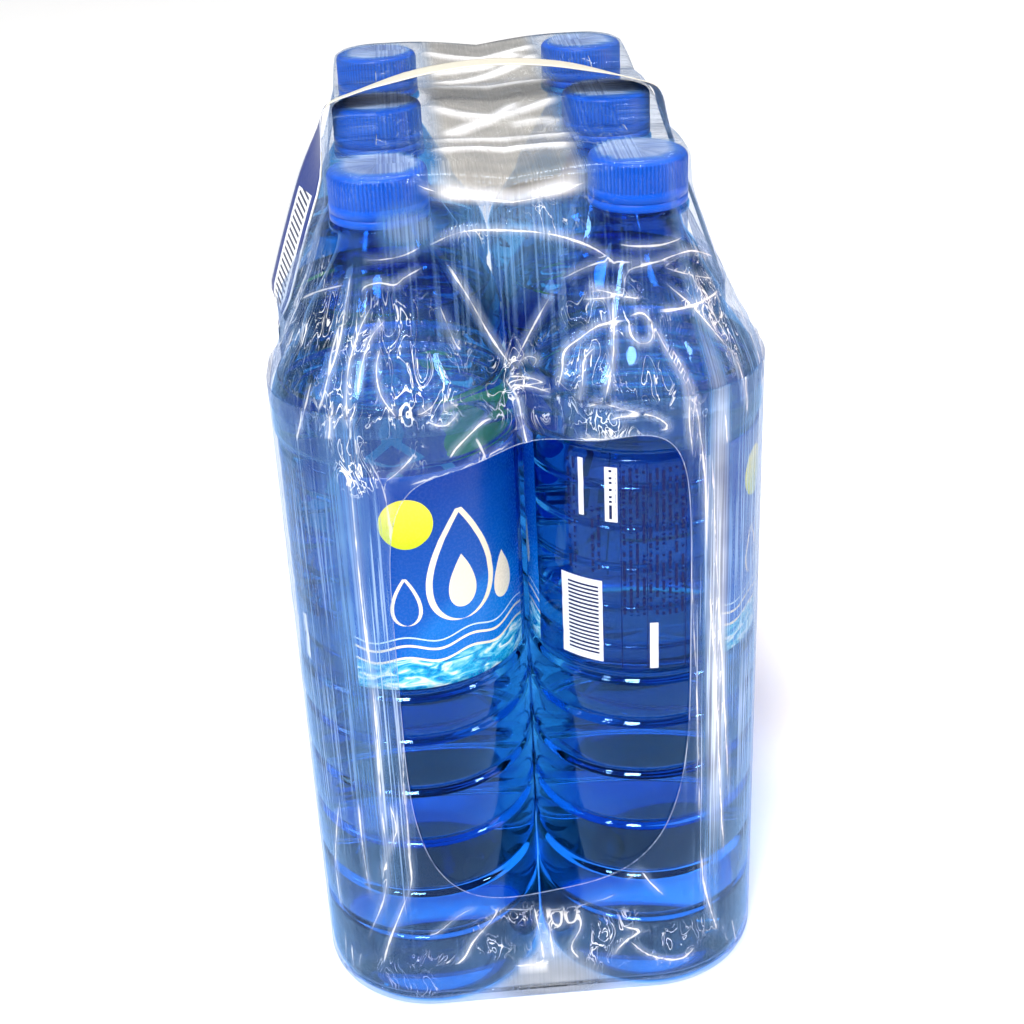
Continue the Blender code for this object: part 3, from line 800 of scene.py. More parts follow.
def side_folds():
    """Folds that the photograph shows less well: fans below the caps, pleats at the foot and drag lines."""
    draw = random.Random(11)
    folds = []
    corner_run = TO_MM * PITCH / 2 + TO_MM * math.pi / 2 * FILM_BODY_RADIUS
    length = TO_MM * FILM_LENGTH
    for side in (1, -1):
        routes = []
        for row in range(3):
            axis = corner_run + TO_MM * PITCH * row
            for _ in range(7):
                start = axis + draw.uniform(-22, 22)
                end = start + draw.uniform(-12, 12)
                top = draw.uniform(282, 312)
                foot = top - draw.uniform(18, 52)
                middle = ((start + end) / 2 + draw.uniform(-4, 4), (top + foot) / 2)
                shape = (draw.uniform(0.3, 0.8), draw.uniform(1.2, 2.2), draw.uniform(0.3, 0.9))
                routes.append((*shape, [(start, top), middle, (end, foot)]))
            for _ in range(4):
                start = axis + draw.uniform(-40, 40)
                foot = draw.uniform(3, 8)
                shape = (draw.uniform(0.3, 0.7), 1.6, draw.uniform(0.2, 0.7))
                end = (start + draw.uniform(-8, 8), foot + draw.uniform(12, 32))
                routes.append((*shape, [(start, foot), end]))
        for _ in range(12):
            start = corner_run + draw.uniform(-20, TO_MM * 2 * PITCH + 20)
            low = draw.uniform(20, 180)
            shape = (draw.uniform(0.15, 0.4), 1.4, draw.uniform(0.1, 0.45))
            end = (start + draw.uniform(-5, 5), low + draw.uniform(40, 90))
            routes.append((*shape, [(start, low), end]))
        for rise, half_width, shine, route in routes:
            folds.append((rise, half_width, shine, [(s if side > 0 else length - s, z) for s, z in route]))
    return folds


def lay_folds(run, height, folds):
    """Rise, signed distance across and whiteness of the painted highlight of the nearest fold at each point,
    in millimetres.
    """
    rise = np.zeros(len(run))
    across = np.full(len(run), FOLD_FAR)
    white = np.zeros(len(run))
    for lift, half_width, shine, route in folds:
        line = np.array(curve_through(route, 4))
        low = line.min(axis=0) - FOLD_FAR
        high = line.max(axis=0) + FOLD_FAR
        near = np.nonzero((run > low[0]) & (run < high[0]) & (height > low[1]) & (height < high[1]))[0]
        if not len(near):
            continue
        place = np.column_stack([run[near], height[near]])
        best = np.full(len(near), 2 * FOLD_FAR)
        share = np.zeros(len(near))
        for index, (start, end) in enumerate(zip(line, line[1:])):
            step = end - start
            size = max(float(step @ step), 1e-9)
            offset = place - start
            t = np.clip(offset @ step / size, 0.0, 1.0)
            gap = offset - t[:, None] * step
            turn = step[0] * offset[:, 1] - step[1] * offset[:, 0]
            away = np.hypot(*gap.T) * np.where(turn < 0, -1.0, 1.0)
            closer = np.abs(away) < np.abs(best)
            best[closer] = away[closer]
            share[closer] = (index + t[closer]) / (len(line) - 1)
        taper = smooth_share(np.minimum(share, 1.0 - share) / 0.16 + 0.12)
        ridge = np.clip(1.0 - np.abs(best) / half_width, 0.0, 1.0) ** 1.3 * taper
        rise[near] = np.maximum(rise[near], lift * ridge)
        take = np.abs(best) < np.abs(across[near])
        across[near[take]] = best[take]
        white[near[take]] = (shine * taper)[take]
    return rise, across, white


def patch_strength(run, height, patches):
    """How strongly soft-edged oval patches cover each point of the wall."""
    strength = np.zeros(len(run))
    for centre_run, centre_height, half_run, half_height, amount in patches:
        away = np.hypot((run - centre_run) / half_run, (height - centre_height) / half_height)
        strength = np.maximum(strength, amount * smooth_share(1.35 - away))
    return strength


def painted_cap_reflection(points):
    """The painted reflection that whitens the film where it is stretched flat over the caps."""
    near = smooth_share((CAP_EDGE - 0.0005 - nearest_axis(points)[0]) / 0.0035)
    return PAINTED_CAP_REFLECTION * near * (points[:, 2] > FILM_TOP - 0.003)


def top_film_values(points):
    """How crumpled and drawn the film is at each point of its top, how milky, partly with painted reflection,
    and how grey with painted shade, and 0 below.
    """
    top = smooth_share((points[:, 2] - FILM_TOP + TOP_DEPTH) / (TOP_DEPTH / 2))
    beside = top * smooth_share((nearest_axis(points)[0] - CAP_EDGE) / 0.006)
    middle = beside * smooth_share((STRIP_HALF_WIDTH - np.abs(points[:, 0])) / STRIP_BLEND)
    return TOP_CRUMPLE * top, TOP_DRAWN * top, BESIDE_MILK_AND_SHEEN * beside + TOP_MILK_AND_SHEEN * middle, middle


def add_values(mesh, name, values):
    """Stores a number at each point of the mesh."""
    layer = mesh.attributes.new(name, "FLOAT", "POINT")
    layer.data.foreach_set("value", np.full(len(mesh.vertices), values, np.float32))


def add_film_values(mesh, across, white, crumple, drawn, milk, dull):
    """Stores what the film's material reads, in the order of FILM_VALUES."""
    for name, values in zip(FILM_VALUES, (across, np.abs(across), white, crumple, drawn, milk, dull)):
        add_values(mesh, name, values)


def add_map(mesh, name, places):
    """Gives the mesh a map, from the place of each of its points."""
    corners = np.zeros(len(mesh.loops), int)
    mesh.loops.foreach_get("vertex_index", corners)
    layer = mesh.uv_layers.new(name=name)
    layer.data.foreach_set("uv", np.array(places)[corners].ravel())


def new_grid(name, count_x, count_y):
    """A flat grid, with the column and the row of each of its points."""
    bpy.ops.object.select_all(action="DESELECT")
    bpy.ops.mesh.primitive_grid_add(x_subdivisions=count_x - 1, y_subdivisions=count_y - 1, size=2.0)
    grid = bpy.context.object
    grid.name = name
    places = np.array([vertex.co for vertex in grid.data.vertices])
    column = np.rint((places[:, 0] + 1.0) / 2.0 * (count_x - 1)).astype(int)
    row = np.rint((places[:, 1] + 1.0) / 2.0 * (count_y - 1)).astype(int)
    return grid, column, row


def make_film(material):
    """A grid is laid round the pack, drawn in between the bottles, closed at foot and top, and cut open."""
    core, along = film_columns()
    rows = film_rows()
    film, column, row = new_grid("clear_film", len(core), len(rows))
    mesh = film.data
    radius, height = rows[row].T
    way = core[column, 2:]
    points = np.column_stack([core[column, :2] + way * radius[:, None], height])
    points[:, :2] -= way * film_dip(points)[:, None]

    # The same folds lie on both ends, half the wrap's length apart. The grid's seam is in front.
    run, up = TO_MM * along[column], TO_MM * height
    length = TO_MM * along[-1]
    front_run = np.where(run > length / 2, run - length, run)
    back_run = run - length / 2
    end_run = np.where(np.abs(front_run) < np.abs(back_run), front_run, back_run)
    rise, across, white = lay_folds(end_run, up, END_FOLDS)
    side_rise, side_across, side_glint = lay_folds(run, up, side_folds())
    closer = np.abs(side_across) < np.abs(across)
    across = np.where(closer, side_across, across)
    white = np.where(closer, side_glint, white)
    rise = np.maximum(rise, side_rise)
    soft = smooth_share((FOLDS_TOP - height) / 0.010) * smooth_share((height - FOLDS_FOOT) / 0.006)
    points[:, :2] += way * (MM * rise * soft)[:, None]
    points = settle_film(points)
    mesh.vertices.foreach_set("co", points.ravel())
    # The milky ovals carry painted reflection, and the grey ones painted shade.
    patches = [patch_strength(end_run, up, ovals) for ovals in (CRUMPLES, DRAWN_STRIPS, MILKY_AND_SHEEN, PAINTED_SHADE_PATCHES)]
    crumple, drawn, milk, dull = [np.maximum(*pair) for pair in zip(patches, top_film_values(points))]
    milk += CLEAR_MILK + painted_cap_reflection(points)
    add_film_values(mesh, across, white, crumple, drawn, milk, dull)
    add_map(mesh, "film", np.column_stack([along[column], height]) / FILM_LENGTH)
    mesh.update()
    lid = film_sheet("film_top", core, FILM_TOP)
    floor = film_sheet("film_floor", core, FILM_FOOT)
    join_pieces(film, [lid, floor])
    bpy.ops.object.mode_set(mode="EDIT")
    bpy.ops.mesh.select_all(action="SELECT")
    bpy.ops.mesh.remove_doubles(threshold=0.00005)
    bpy.ops.mesh.normals_make_consistent(inside=False)
    bpy.ops.object.mode_set(mode="OBJECT")
    cut_openings(film)
    join_pieces(film, [rolled_edge(film)])
    bpy.ops.object.shade_smooth()
    finish_piece(film, "film_wrap", material)


def join_pieces(first, others):
    bpy.ops.object.select_all(action="DESELECT")
    for piece in (first, *others):
        piece.select_set(True)
    bpy.context.view_layer.objects.active = first
    bpy.ops.object.join()


def settle_film(points):
    """Lets the top sag between the caps and keeps the film off the bottles."""
    distance, way = nearest_axis(points)
    sag = TOP_SAG * smooth_share((distance - CAP_EDGE) / SAG_REACH)
    points[:, 2] -= sag * smooth_share((points[:, 2] - SAG_FROM) / RIM_BLEND)
    reach = bottle_reach(points[:, 2]) + FILM_CLEARANCE
    inside = (distance < reach) & (points[:, 2] < FOOT + CAP_TOP - 0.0005) & (points[:, 2] > 0.003)
    push = np.where(inside, reach - distance, 0.0)
    points[:, :2] += way * push[:, None]
    return points


def film_sheet(name, core, height):
    """The flat part of the film inside the ring of bottle axes, over or under the pack."""
    front = np.concatenate([core[-FRONT_COLUMNS // 2 - 1 : -1, 0], core[: FRONT_COLUMNS // 2 + 1, 0]])
    side = core[FRONT_COLUMNS // 2 + FRONT_CORNER_COLUMNS :][: SIDE_COLUMNS + 1, 1]
    sheet, column, row = new_grid(name, len(front), len(side))
    points = np.column_stack([front[column], side[row], np.full(len(row), height)])
    across, white = FOLD_FAR, 0.0
    if height == FILM_TOP:
        rise, across, white = lay_folds(TO_MM * points[:, 0], TO_MM * points[:, 1], TOP_FOLDS)
        beside = smooth_share((nearest_axis(points)[0] - CAP_EDGE) / 0.006)
        points = settle_film(points)
        points[:, 2] += MM * rise * beside
    sheet.data.vertices.foreach_set("co", points.ravel())
    crumple, drawn, milk, dull = top_film_values(points)
    milk += CLEAR_MILK + painted_cap_reflection(points)
    add_film_values(sheet.data, across, white, crumple, drawn, milk, dull)
    flat = np.column_stack([points[:, 0], height + PITCH + points[:, 1]])
    add_map(sheet.data, "film", flat / FILM_LENGTH)
    return sheet


def opening_share(x, z):
    """Below 1 inside the opening, 1 on its edge. The opening is rounder at its foot than at its top."""
    across = abs(x - OPENING_CENTRE[0]) / OPENING_HALF_WIDTH
    up = (z - OPENING_CENTRE[1] - OPENING_SLANT * (x - OPENING_CENTRE[0])) / OPENING_HALF_HEIGHT
    power = OPENING_SQUARENESS[up > 0.0]
    return (across**power + abs(up) ** power) ** (1 / power)


def cut_openings(film):
    """Moves the nearest points onto both openings' outlines and removes the faces inside."""
    shape = bmesh.new()
    shape.from_mesh(film.data)
    ends = [vert for vert in shape.verts if abs(vert.co.y) > PITCH + 0.004]
    share = {vert: opening_share(vert.co.x, vert.co.z) for vert in ends}
    moves = {}
    for edge in shape.edges:
        start, end = edge.verts
        if start not in share or end not in share or (share[start] - 1.0) * (share[end] - 1.0) >= 0.0:
            continue
        t = (1.0 - share[start]) / (share[end] - share[start])
        place = start.co.lerp(end.co, t)
        nearer = start if t < 0.5 else end
        if nearer not in moves or (place - nearer.co).length < (moves[nearer] - nearer.co).length:
            moves[nearer] = place
    for vert, place in moves.items():
        vert.co = place
    gone = []
    for face in list(shape.faces):
        if not all(vert in share for vert in face.verts):
            continue
        signs = {share[vert] > 1.0 for vert in face.verts if vert not in moves}
        pieces = [face]
        on_edge = [vert for vert in face.verts if vert in moves]
        if len(signs) == 2 and len(on_edge) == 2:
            pieces.append(bmesh.utils.face_split(face, *on_edge)[0])
        for piece in pieces:
            inside = [share[vert] < 1.0 for vert in piece.verts if vert not in moves]
            centre = piece.calc_center_median()
            if all(inside) if inside else opening_share(centre.x, centre.z) < 1.0:
                gone.append(piece)
    bmesh.ops.delete(shape, geom=gone, context="FACES")
    shape.to_mesh(film.data)
    shape.free()


def rolled_edge(film):
    """The shrunk film rolls up into a bead along both cut edges."""
    edge = film.copy()
    edge.data = film.data.copy()
    edge.name = "rolled_edge"
    bpy.context.scene.collection.objects.link(edge)
    bpy.ops.object.select_all(action="DESELECT")
    edge.select_set(True)
    bpy.context.view_layer.objects.active = edge
    bpy.ops.object.mode_set(mode="EDIT")
    bpy.ops.mesh.select_mode(type="EDGE")
    bpy.ops.mesh.select_all(action="DESELECT")
    bpy.ops.mesh.select_non_manifold(extend=False, use_wire=False, use_multi_face=False, use_verts=False)
    bpy.ops.mesh.select_all(action="INVERT")
    bpy.ops.mesh.delete(type="EDGE_FACE")
    bpy.ops.mesh.select_mode(type="VERT")
    bpy.ops.mesh.select_all(action="SELECT")
    bpy.ops.mesh.delete_loose(use_verts=True, use_edges=False, use_faces=False)
    bpy.ops.object.mode_set(mode="OBJECT")
    bpy.ops.object.convert(target="CURVE")
    edge = bpy.context.object
    edge.data.bevel_depth = ROLLED_EDGE
    edge.data.bevel_resolution = 1
    bpy.ops.object.convert(target="MESH")
    edge = bpy.context.object
    mesh = edge.data
    while mesh.uv_layers:
        mesh.uv_layers.remove(mesh.uv_layers[0])
    places = [(vertex.co.x / FILM_LENGTH, vertex.co.z / FILM_LENGTH) for vertex in mesh.vertices]
    add_map(mesh, "film", places)
    # The bead carries a faint painted highlight along it.
    add_film_values(mesh, across=0.0, white=0.30, crumple=0.0, drawn=0.4, milk=0.05, dull=0.0)
    return edge


def strap_line():
    """The middle line of the strap from its left end over the top to its right end."""
    low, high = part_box("carry_strap")
    side = high.x - STRAP_THICKNESS
    half = STRAP_ARCH + [(side, height) for height in (*STRAP_FLAT, low.z + STRAP_THICKNESS / 2)]
    whole = [(-x, z) for x, z in reversed(half[1:])] + half
    return curve_through(whole, 3)


def make_strap(material):
    """A flat strip is extruded along the strap's line and given its thickness."""
    line = strap_line()
    bpy.ops.object.select_all(action="DESELECT")
    bpy.ops.mesh.primitive_plane_add(size=STRAP_WIDTH)
    strap = bpy.context.object
    strap.name = "strap_band"
    bpy.ops.object.mode_set(mode="EDIT")
    bpy.ops.mesh.select_all(action="SELECT")
    bpy.ops.transform.rotate(value=math.pi / 2, orient_axis="Y", center_override=(0.0, 0.0, 0.0))
    bpy.ops.mesh.delete(type="ONLY_FACE")
    bpy.ops.mesh.select_all(action="DESELECT")
    bpy.ops.object.mode_set(mode="OBJECT")
    low = min(vertex.co.z for vertex in strap.data.vertices)
    for edge in strap.data.edges:
        ends = [strap.data.vertices[index] for index in edge.vertices]
        edge.select = all(abs(vertex.co.z - low) < 0.0001 for vertex in ends)
    keep = {index for edge in strap.data.edges if edge.select for index in edge.vertices}
    for vertex in strap.data.vertices:
        vertex.select = vertex.index in keep
    bpy.ops.object.mode_set(mode="EDIT")
    bpy.ops.mesh.select_all(action="INVERT")
    bpy.ops.mesh.delete(type="VERT")
    bpy.ops.mesh.select_all(action="SELECT")
    bpy.ops.mesh.subdivide(number_cuts=STRAP_CUTS)
    bpy.ops.transform.translate(value=(line[0][0], 0.0, line[0][1] - low))
    extrude_along(line)
    bpy.ops.object.mode_set(mode="OBJECT")
    reach = run_along(line)
    places = []
    for vertex in strap.data.vertices:
        run = reach[vertex.index // (STRAP_CUTS + 2)]
        places.append((TO_MM * (run - reach[-1] / 2), 0.5 + vertex.co.y / STRAP_WIDTH))
    add_map(strap.data, "strap", places)
    for vertex in strap.data.vertices:
        out = abs(vertex.co.x)
        lean = 1.0 + STRAP_END_LEAN * smooth_share((out - STRAP_END_LEAN_FROM) / 0.022)
        lean *= smooth_share((STRAP_LEAN_END - out) / 0.008)
        vertex.co.z -= vertex.co.y * STRAP_TILT * lean
        if vertex.co.x < 0.0:
            twist = smooth_share((STRAP_TWIST_TOP - vertex.co.z) / 0.030)
            twist *= smooth_share((vertex.co.z - STRAP_TWIST_FOOT) / 0.015)
            vertex.co.x -= vertex.co.y * STRAP_TWIST * twist
    give_wall(strap, STRAP_THICKNESS, offset=0.0)
    # Faces that look inwards are marked by a map two widths up, where the material paints them grey as shade.
    middle = Vector((0.0, 0.0, STRAP_LOOKS_TO))
    layer = strap.data.uv_layers["strap"]
    for face in strap.data.polygons:
        if face.normal.dot(face.center - middle) < 0.0:
            for corner in face.loop_indices:
                layer.data[corner].uv.y += 2.0
    bpy.ops.object.shade_smooth()
    finish_piece(strap, "carry_strap", material)


# What a Mix node is given to mix colours.
COLOURS = {"output": 2, "data_type": "RGBA"}


def node(tree, kind, inputs=None, output=0, **settings):
    """Adds a node with its settings and gives one of its outputs, where it has any.

    An input is a value, or a socket to link, and a list fills the first inputs in their order.
    """
    made = tree.nodes.new("ShaderNode" + kind)
    for name, value in settings.items():
        setattr(made, name, value)
    inputs = inputs or {}
    for name, value in inputs.items() if isinstance(inputs, dict) else enumerate(inputs):
        if isinstance(value, bpy.types.NodeSocket):
            tree.links.new(value, made.inputs[name])
        else:
            made.inputs[name].default_value = value
    return made.outputs[output] if made.outputs else None


def new_material(name):
    material = bpy.data.materials.new(name)
    material.use_nodes = True
    material.node_tree.nodes.clear()
    return material, material.node_tree


def see_through(tree, tint, shine, index, roughness, normal):
    """A thin clear wall: it tints what is behind it and mirrors what is before it."""
    clear = node(tree, "BsdfTransparent", {"Color": tint})
    gloss = node(tree, "BsdfGlossy", {"Color": shine, "Roughness": roughness, "Normal": normal})
    mirror = node(tree, "Fresnel", {"IOR": index, "Normal": normal})
    return node(tree, "MixShader", [mirror, clear, gloss])


def output_wall(tree, surface, tint):
    """Lamps, and rays that leave the wall by its other side, pass through with the tint alone."""
    clear = node(tree, "BsdfTransparent", {"Color": tint})
    inner_side = node(tree, "NewGeometry", output="Backfacing")
    lamp_ray = node(tree, "LightPath", output="Is Shadow Ray")
    plain = node(tree, "Math", [inner_side, lamp_ray], operation="MAXIMUM")
    node(tree, "OutputMaterial", [node(tree, "MixShader", [plain, surface, clear])])


def moulded_skin(tree, place, scale, detail, strength, depth, roughness):
    """A noise over a surface, in cells for each unit of place, with the bump and roughness that follow it."""
    waves = node(tree, "TexNoise", {"Vector": place, "Scale": scale, "Detail": detail})
    bump = node(tree, "Bump", {"Strength": strength, "Distance": depth, "Height": waves})
    rough = node(tree, "MapRange", {0: waves, 3: roughness[0], 4: roughness[1]})
    return waves, bump, rough


def wall_tint(tree, place, waves):
    """The wall is thin and pale in the body, and thick and deep blue from the shoulder to the neck."""
    height = node(tree, "SeparateXYZ", [place], output=2)
    neck = node(tree, "MapRange", [height, NECK_TINT_FROM, NECK_TINT_TO])
    tint = node(tree, "Mix", {0: waves, 6: colour(PET_DEEP), 7: colour(PET_THIN)}, **COLOURS)
    return node(tree, "Mix", {0: neck, 6: tint, 7: colour(PET_NECK)}, **COLOURS)


def blue_pet():
    # Clear blue PET, blown in a mould: a glassy skin with soft waves of 11 mm.
    material, tree = new_material("clear_blue_pet")
    place = node(tree, "TexCoord", output="Object")
    waves, bump, rough = moulded_skin(tree, place, 90.0, 1.0, 0.22, 0.0006, (0.02, 0.07))
    tint = wall_tint(tree, place, waves)
    wall = see_through(tree, tint, colour("#8CC0F8"), 1.45, rough, bump)
    output_wall(tree, wall, colour(PET_MEAN))
    return material


def wetted_pet():
    # The inside of the same wall, with the same waves. Water wets it, so it hardly mirrors.
    material, tree = new_material("wetted_blue_pet")
    place = node(tree, "TexCoord", output="Object")
    waves, bump, rough = moulded_skin(tree, place, 90.0, 0.0, 0.2, 0.0004, (0.0, 0.0035))
    clear = node(tree, "BsdfTransparent", {"Color": wall_tint(tree, place, waves)})
    gloss = node(tree, "BsdfGlossy", {"Color": colour("#8FC4FF"), "Roughness": rough, "Normal": bump})
    wall = node(tree, "MixShader", [0.01, clear, gloss])
    output_wall(tree, wall, colour(PET_MEAN))
    return material


def still_water():
    # Still water, with an unevenness of 17 mm. It bends light as water does, and lamps shine through it.
    material, tree = new_material("still_water")
    place = node(tree, "TexCoord", output="Object")
    _, bump, rough = moulded_skin(tree, place, 60.0, 0.0, 0.06, 0.0005, (0.0, 0.0035))
    drink = node(
        tree,
        "BsdfPrincipled",
        {
            "Base Color": colour("#EAF6FF"),
            "Roughness": rough,
            "IOR": 1.333,
            "Transmission Weight": 1.0,
            "Specular IOR Level": 0.2,
            "Normal": bump,
        },
    )
    clear = node(tree, "BsdfTransparent", {"Color": colour("#DDEFFF")})
    lamp_ray = node(tree, "LightPath", output="Is Shadow Ray")
    node(tree, "OutputMaterial", [node(tree, "MixShader", [lamp_ray, drink, clear])])
    return material


def cap_plastic():
    # Royal blue polyethylene, injection moulded: a satin skin with a grain of 0.6 mm and clouds of 8 mm.
    material, tree = new_material("royal_blue_cap")
    place = node(tree, "TexCoord", output="Object")
    grain = node(tree, "TexNoise", {"Vector": place, "Scale": 1600.0, "Detail": 3.0})
    cloud = node(tree, "TexNoise", {"Vector": place, "Scale": 120.0, "Detail": 2.0})
    bump = node(tree, "Bump", {"Strength": 0.18, "Distance": 0.0002, "Height": grain})
    rough = node(tree, "MapRange", {0: cloud, 3: 0.26, 4: 0.40})
    tone = node(tree, "Mix", {0: cloud, 6: colour("#0050C8"), 7: colour("#0460DC")}, **COLOURS)
    # Painted shade: the grooves between the ribs are darkened.
    groove = node(tree, "Attribute", output="Fac", attribute_name="groove")
    groove = node(tree, "MapRange", {0: groove, 1: 0.25, 2: 1.0, 4: 0.75})
    tone = node(tree, "Mix", {0: groove, 6: tone, 7: colour("#003C98")}, **COLOURS)
    plastic = node(
        tree,
        "BsdfPrincipled",
        {
            "Base Color": tone,
            "Roughness": rough,
            "Specular IOR Level": 0.22,
            "Normal": bump,
            "Subsurface Weight": 0.1,
            "Subsurface Scale": 0.001,
        },
    )
    node(tree, "OutputMaterial", [plastic])
    return material


def panel_print(tree, x, z, place):
    """The blue panel's design: a sun, drops, two lines of waves and a band of water."""
    slope = node(tree, "Math", [x, -0.4, z], operation="MULTIPLY_ADD")
    height = node(tree, "MapRange", [slope, 5.0, 80.0])
    ink = node(tree, "Mix", {0: height, 6: colour("#0468D0"), 7: colour("#003C9C")}, **COLOURS)
    away = node(tree, "VectorMath", [place, SWELL], output=1, operation="DISTANCE")
    swell = node(tree, "MapRange", {0: away, 1: SWELL_OUTSIDE, 2: SWELL_INSIDE, 4: 0.5})
    ink = node(tree, "Mix", {0: swell, 6: ink, 7: colour("#1084E4")}, **COLOURS)

    away = node(tree, "VectorMath", [place, SUN], output=1, operation="DISTANCE")
    disc = node(tree, "Math", [away, SUN_RADIUS], operation="LESS_THAN")
    glow = node(tree, "MapRange", [z, 58.0, 74.0])
    sun = node(tree, "Mix", {0: glow, 6: colour("#C6DC1E"), 7: colour("#F8F04A")}, **COLOURS)
    ink = node(tree, "Mix", {0: disc, 6: ink, 7: sun}, **COLOURS)

    # A drop is as wide as its depth below the tip times the root of its height above the foot.
    for middle, foot, tip, half_width, line_width in DROPS:
        down = node(tree, "MapRange", [z, tip, foot, 0.0, 1.0])
        left = node(tree, "Math", [1.0, down], operation="SUBTRACT")
        round_end = node(tree, "Math", [left, 0.5], operation="POWER")
        shape = node(tree, "Math", [down, round_end], operation="MULTIPLY")
        side = node(tree, "Math", [shape, DROP_FULLNESS * half_width], operation="MULTIPLY")
        across = node(tree, "Math", [x, middle], operation="SUBTRACT")
        across = node(tree, "Math", [across], operation="ABSOLUTE")
        if line_width:
            mask = node(tree, "Math", [across, side, line_width / 2], operation="COMPARE")
        else:
            mask = node(tree, "Math", [across, side], operation="LESS_THAN")
        inside = node(tree, "Math", [shape, 0.001], operation="GREATER_THAN")
        mask = node(tree, "Math", [mask, inside], operation="MULTIPLY")
        ink = node(tree, "Mix", {0: mask, 6: ink, 7: colour(CREAM_INK)}, **COLOURS)

    turn = node(tree, "Math", [x, math.tau / WAVE_LENGTH], operation="MULTIPLY")
    wave = node(tree, "Math", [turn], operation="SINE")
    for line_height, line_width, code in WAVE_LINES:
        level = node(tree, "Math", [wave, WAVE_SWING, line_height], operation="MULTIPLY_ADD")
        mask = node(tree, "Math", [z, level, line_width / 2], operation="COMPARE")
        ink = node(tree, "Mix", {0: mask, 6: ink, 7: colour(code)}, **COLOURS)

    # The band is a pale, rippled strip of water with a cream edge.
    squeezed = node(tree, "VectorMath", [place, (0.10, 0.24, 1.0)], operation="MULTIPLY")
    ripple = node(tree, "TexNoise", {"Vector": squeezed, "Scale": 1.0, "Detail": 3.0, "Distortion": 1.2})
    water = node(tree, "ValToRGB", [ripple])
    stops = water.node.color_ramp.elements
    while len(stops) < len(WATER_INKS):
        stops.new(0.5)
    for stop, (position, code) in zip(stops, WATER_INKS):
        stop.position = position
        stop.color = colour(code)
    edge = node(tree, "Math", [wave, WAVE_SWING, BAND_TOP], operation="MULTIPLY_ADD")
    band = node(tree, "Math", [z, edge], operation="LESS_THAN")
    ink = node(tree, "Mix", {0: band, 6: ink, 7: water}, **COLOURS)
    rim = node(tree, "Math", [z, edge, BAND_RIM], operation="COMPARE")
    return node(tree, "Mix", {0: rim, 6: ink, 7: colour(CREAM_INK)}, **COLOURS)


def box_mask(tree, along, z, box):
    """1 inside a box of the small print, 0 outside it."""
    left, right, low, high = box
    wide = node(tree, "Math", [along, (left + right) / 2, (right - left) / 2], operation="COMPARE")
    tall = node(tree, "Math", [z, (low + high) / 2, (high - low) / 2], operation="COMPARE")
    return node(tree, "Math", [wide, tall], operation="MULTIPLY")


def small_print(tree, along, z):
    """Masks of the pale boxes and of the dark marks in the label's clear part."""
    pale = None
    for box in PALE_BOXES:
        mask = box_mask(tree, along, z, box)
        pale = mask if pale is None else node(tree, "Math", [pale, mask], operation="MAXIMUM")
    row = node(tree, "Math", [z, BAR_SPACING], operation="DIVIDE")
    row = node(tree, "Math", [row], operation="FRACT")
    bar = node(tree, "Math", [row, 0.5], operation="LESS_THAN")
    dark = node(tree, "Math", [bar, box_mask(tree, along, z, BAR_BOX)], operation="MULTIPLY")
    # Columns of short dashes stand for the small print.
    share = node(tree, "Math", [along, DASH_COLUMN], operation="DIVIDE")
    cell = node(tree, "Math", [share], operation="FLOOR")
    rest = node(tree, "Math", [share], operation="FRACT")
    stroke = node(tree, "Math", [rest, 0.5, DASH_REACH], operation="COMPARE")
    level = node(tree, "Math", [z, DASH_LENGTH], operation="DIVIDE")
    level = node(tree, "Math", [level], operation="FLOOR")
    cells = node(tree, "CombineXYZ", [cell, level])
    chance = node(tree, "TexWhiteNoise", {"Vector": cells}, noise_dimensions="2D")
    dash = node(tree, "Math", [chance, DASH_GAPS], operation="GREATER_THAN")
    dash = node(tree, "Math", [dash, stroke], operation="MULTIPLY")
    for box in DASH_BOXES:
        mask = node(tree, "Math", [dash, box_mask(tree, along, z, box)], operation="MULTIPLY")
        dark = node(tree, "Math", [dark, mask], operation="MAXIMUM")
    for rule in RULES:
        box = (rule - RULE_HALF_WIDTH, rule + RULE_HALF_WIDTH, RULE_FOOT, RULE_TOP)
        line = box_mask(tree, along, z, box)
        dark = node(tree, "Math", [dark, line], operation="MAXIMUM")
    return pale, dark


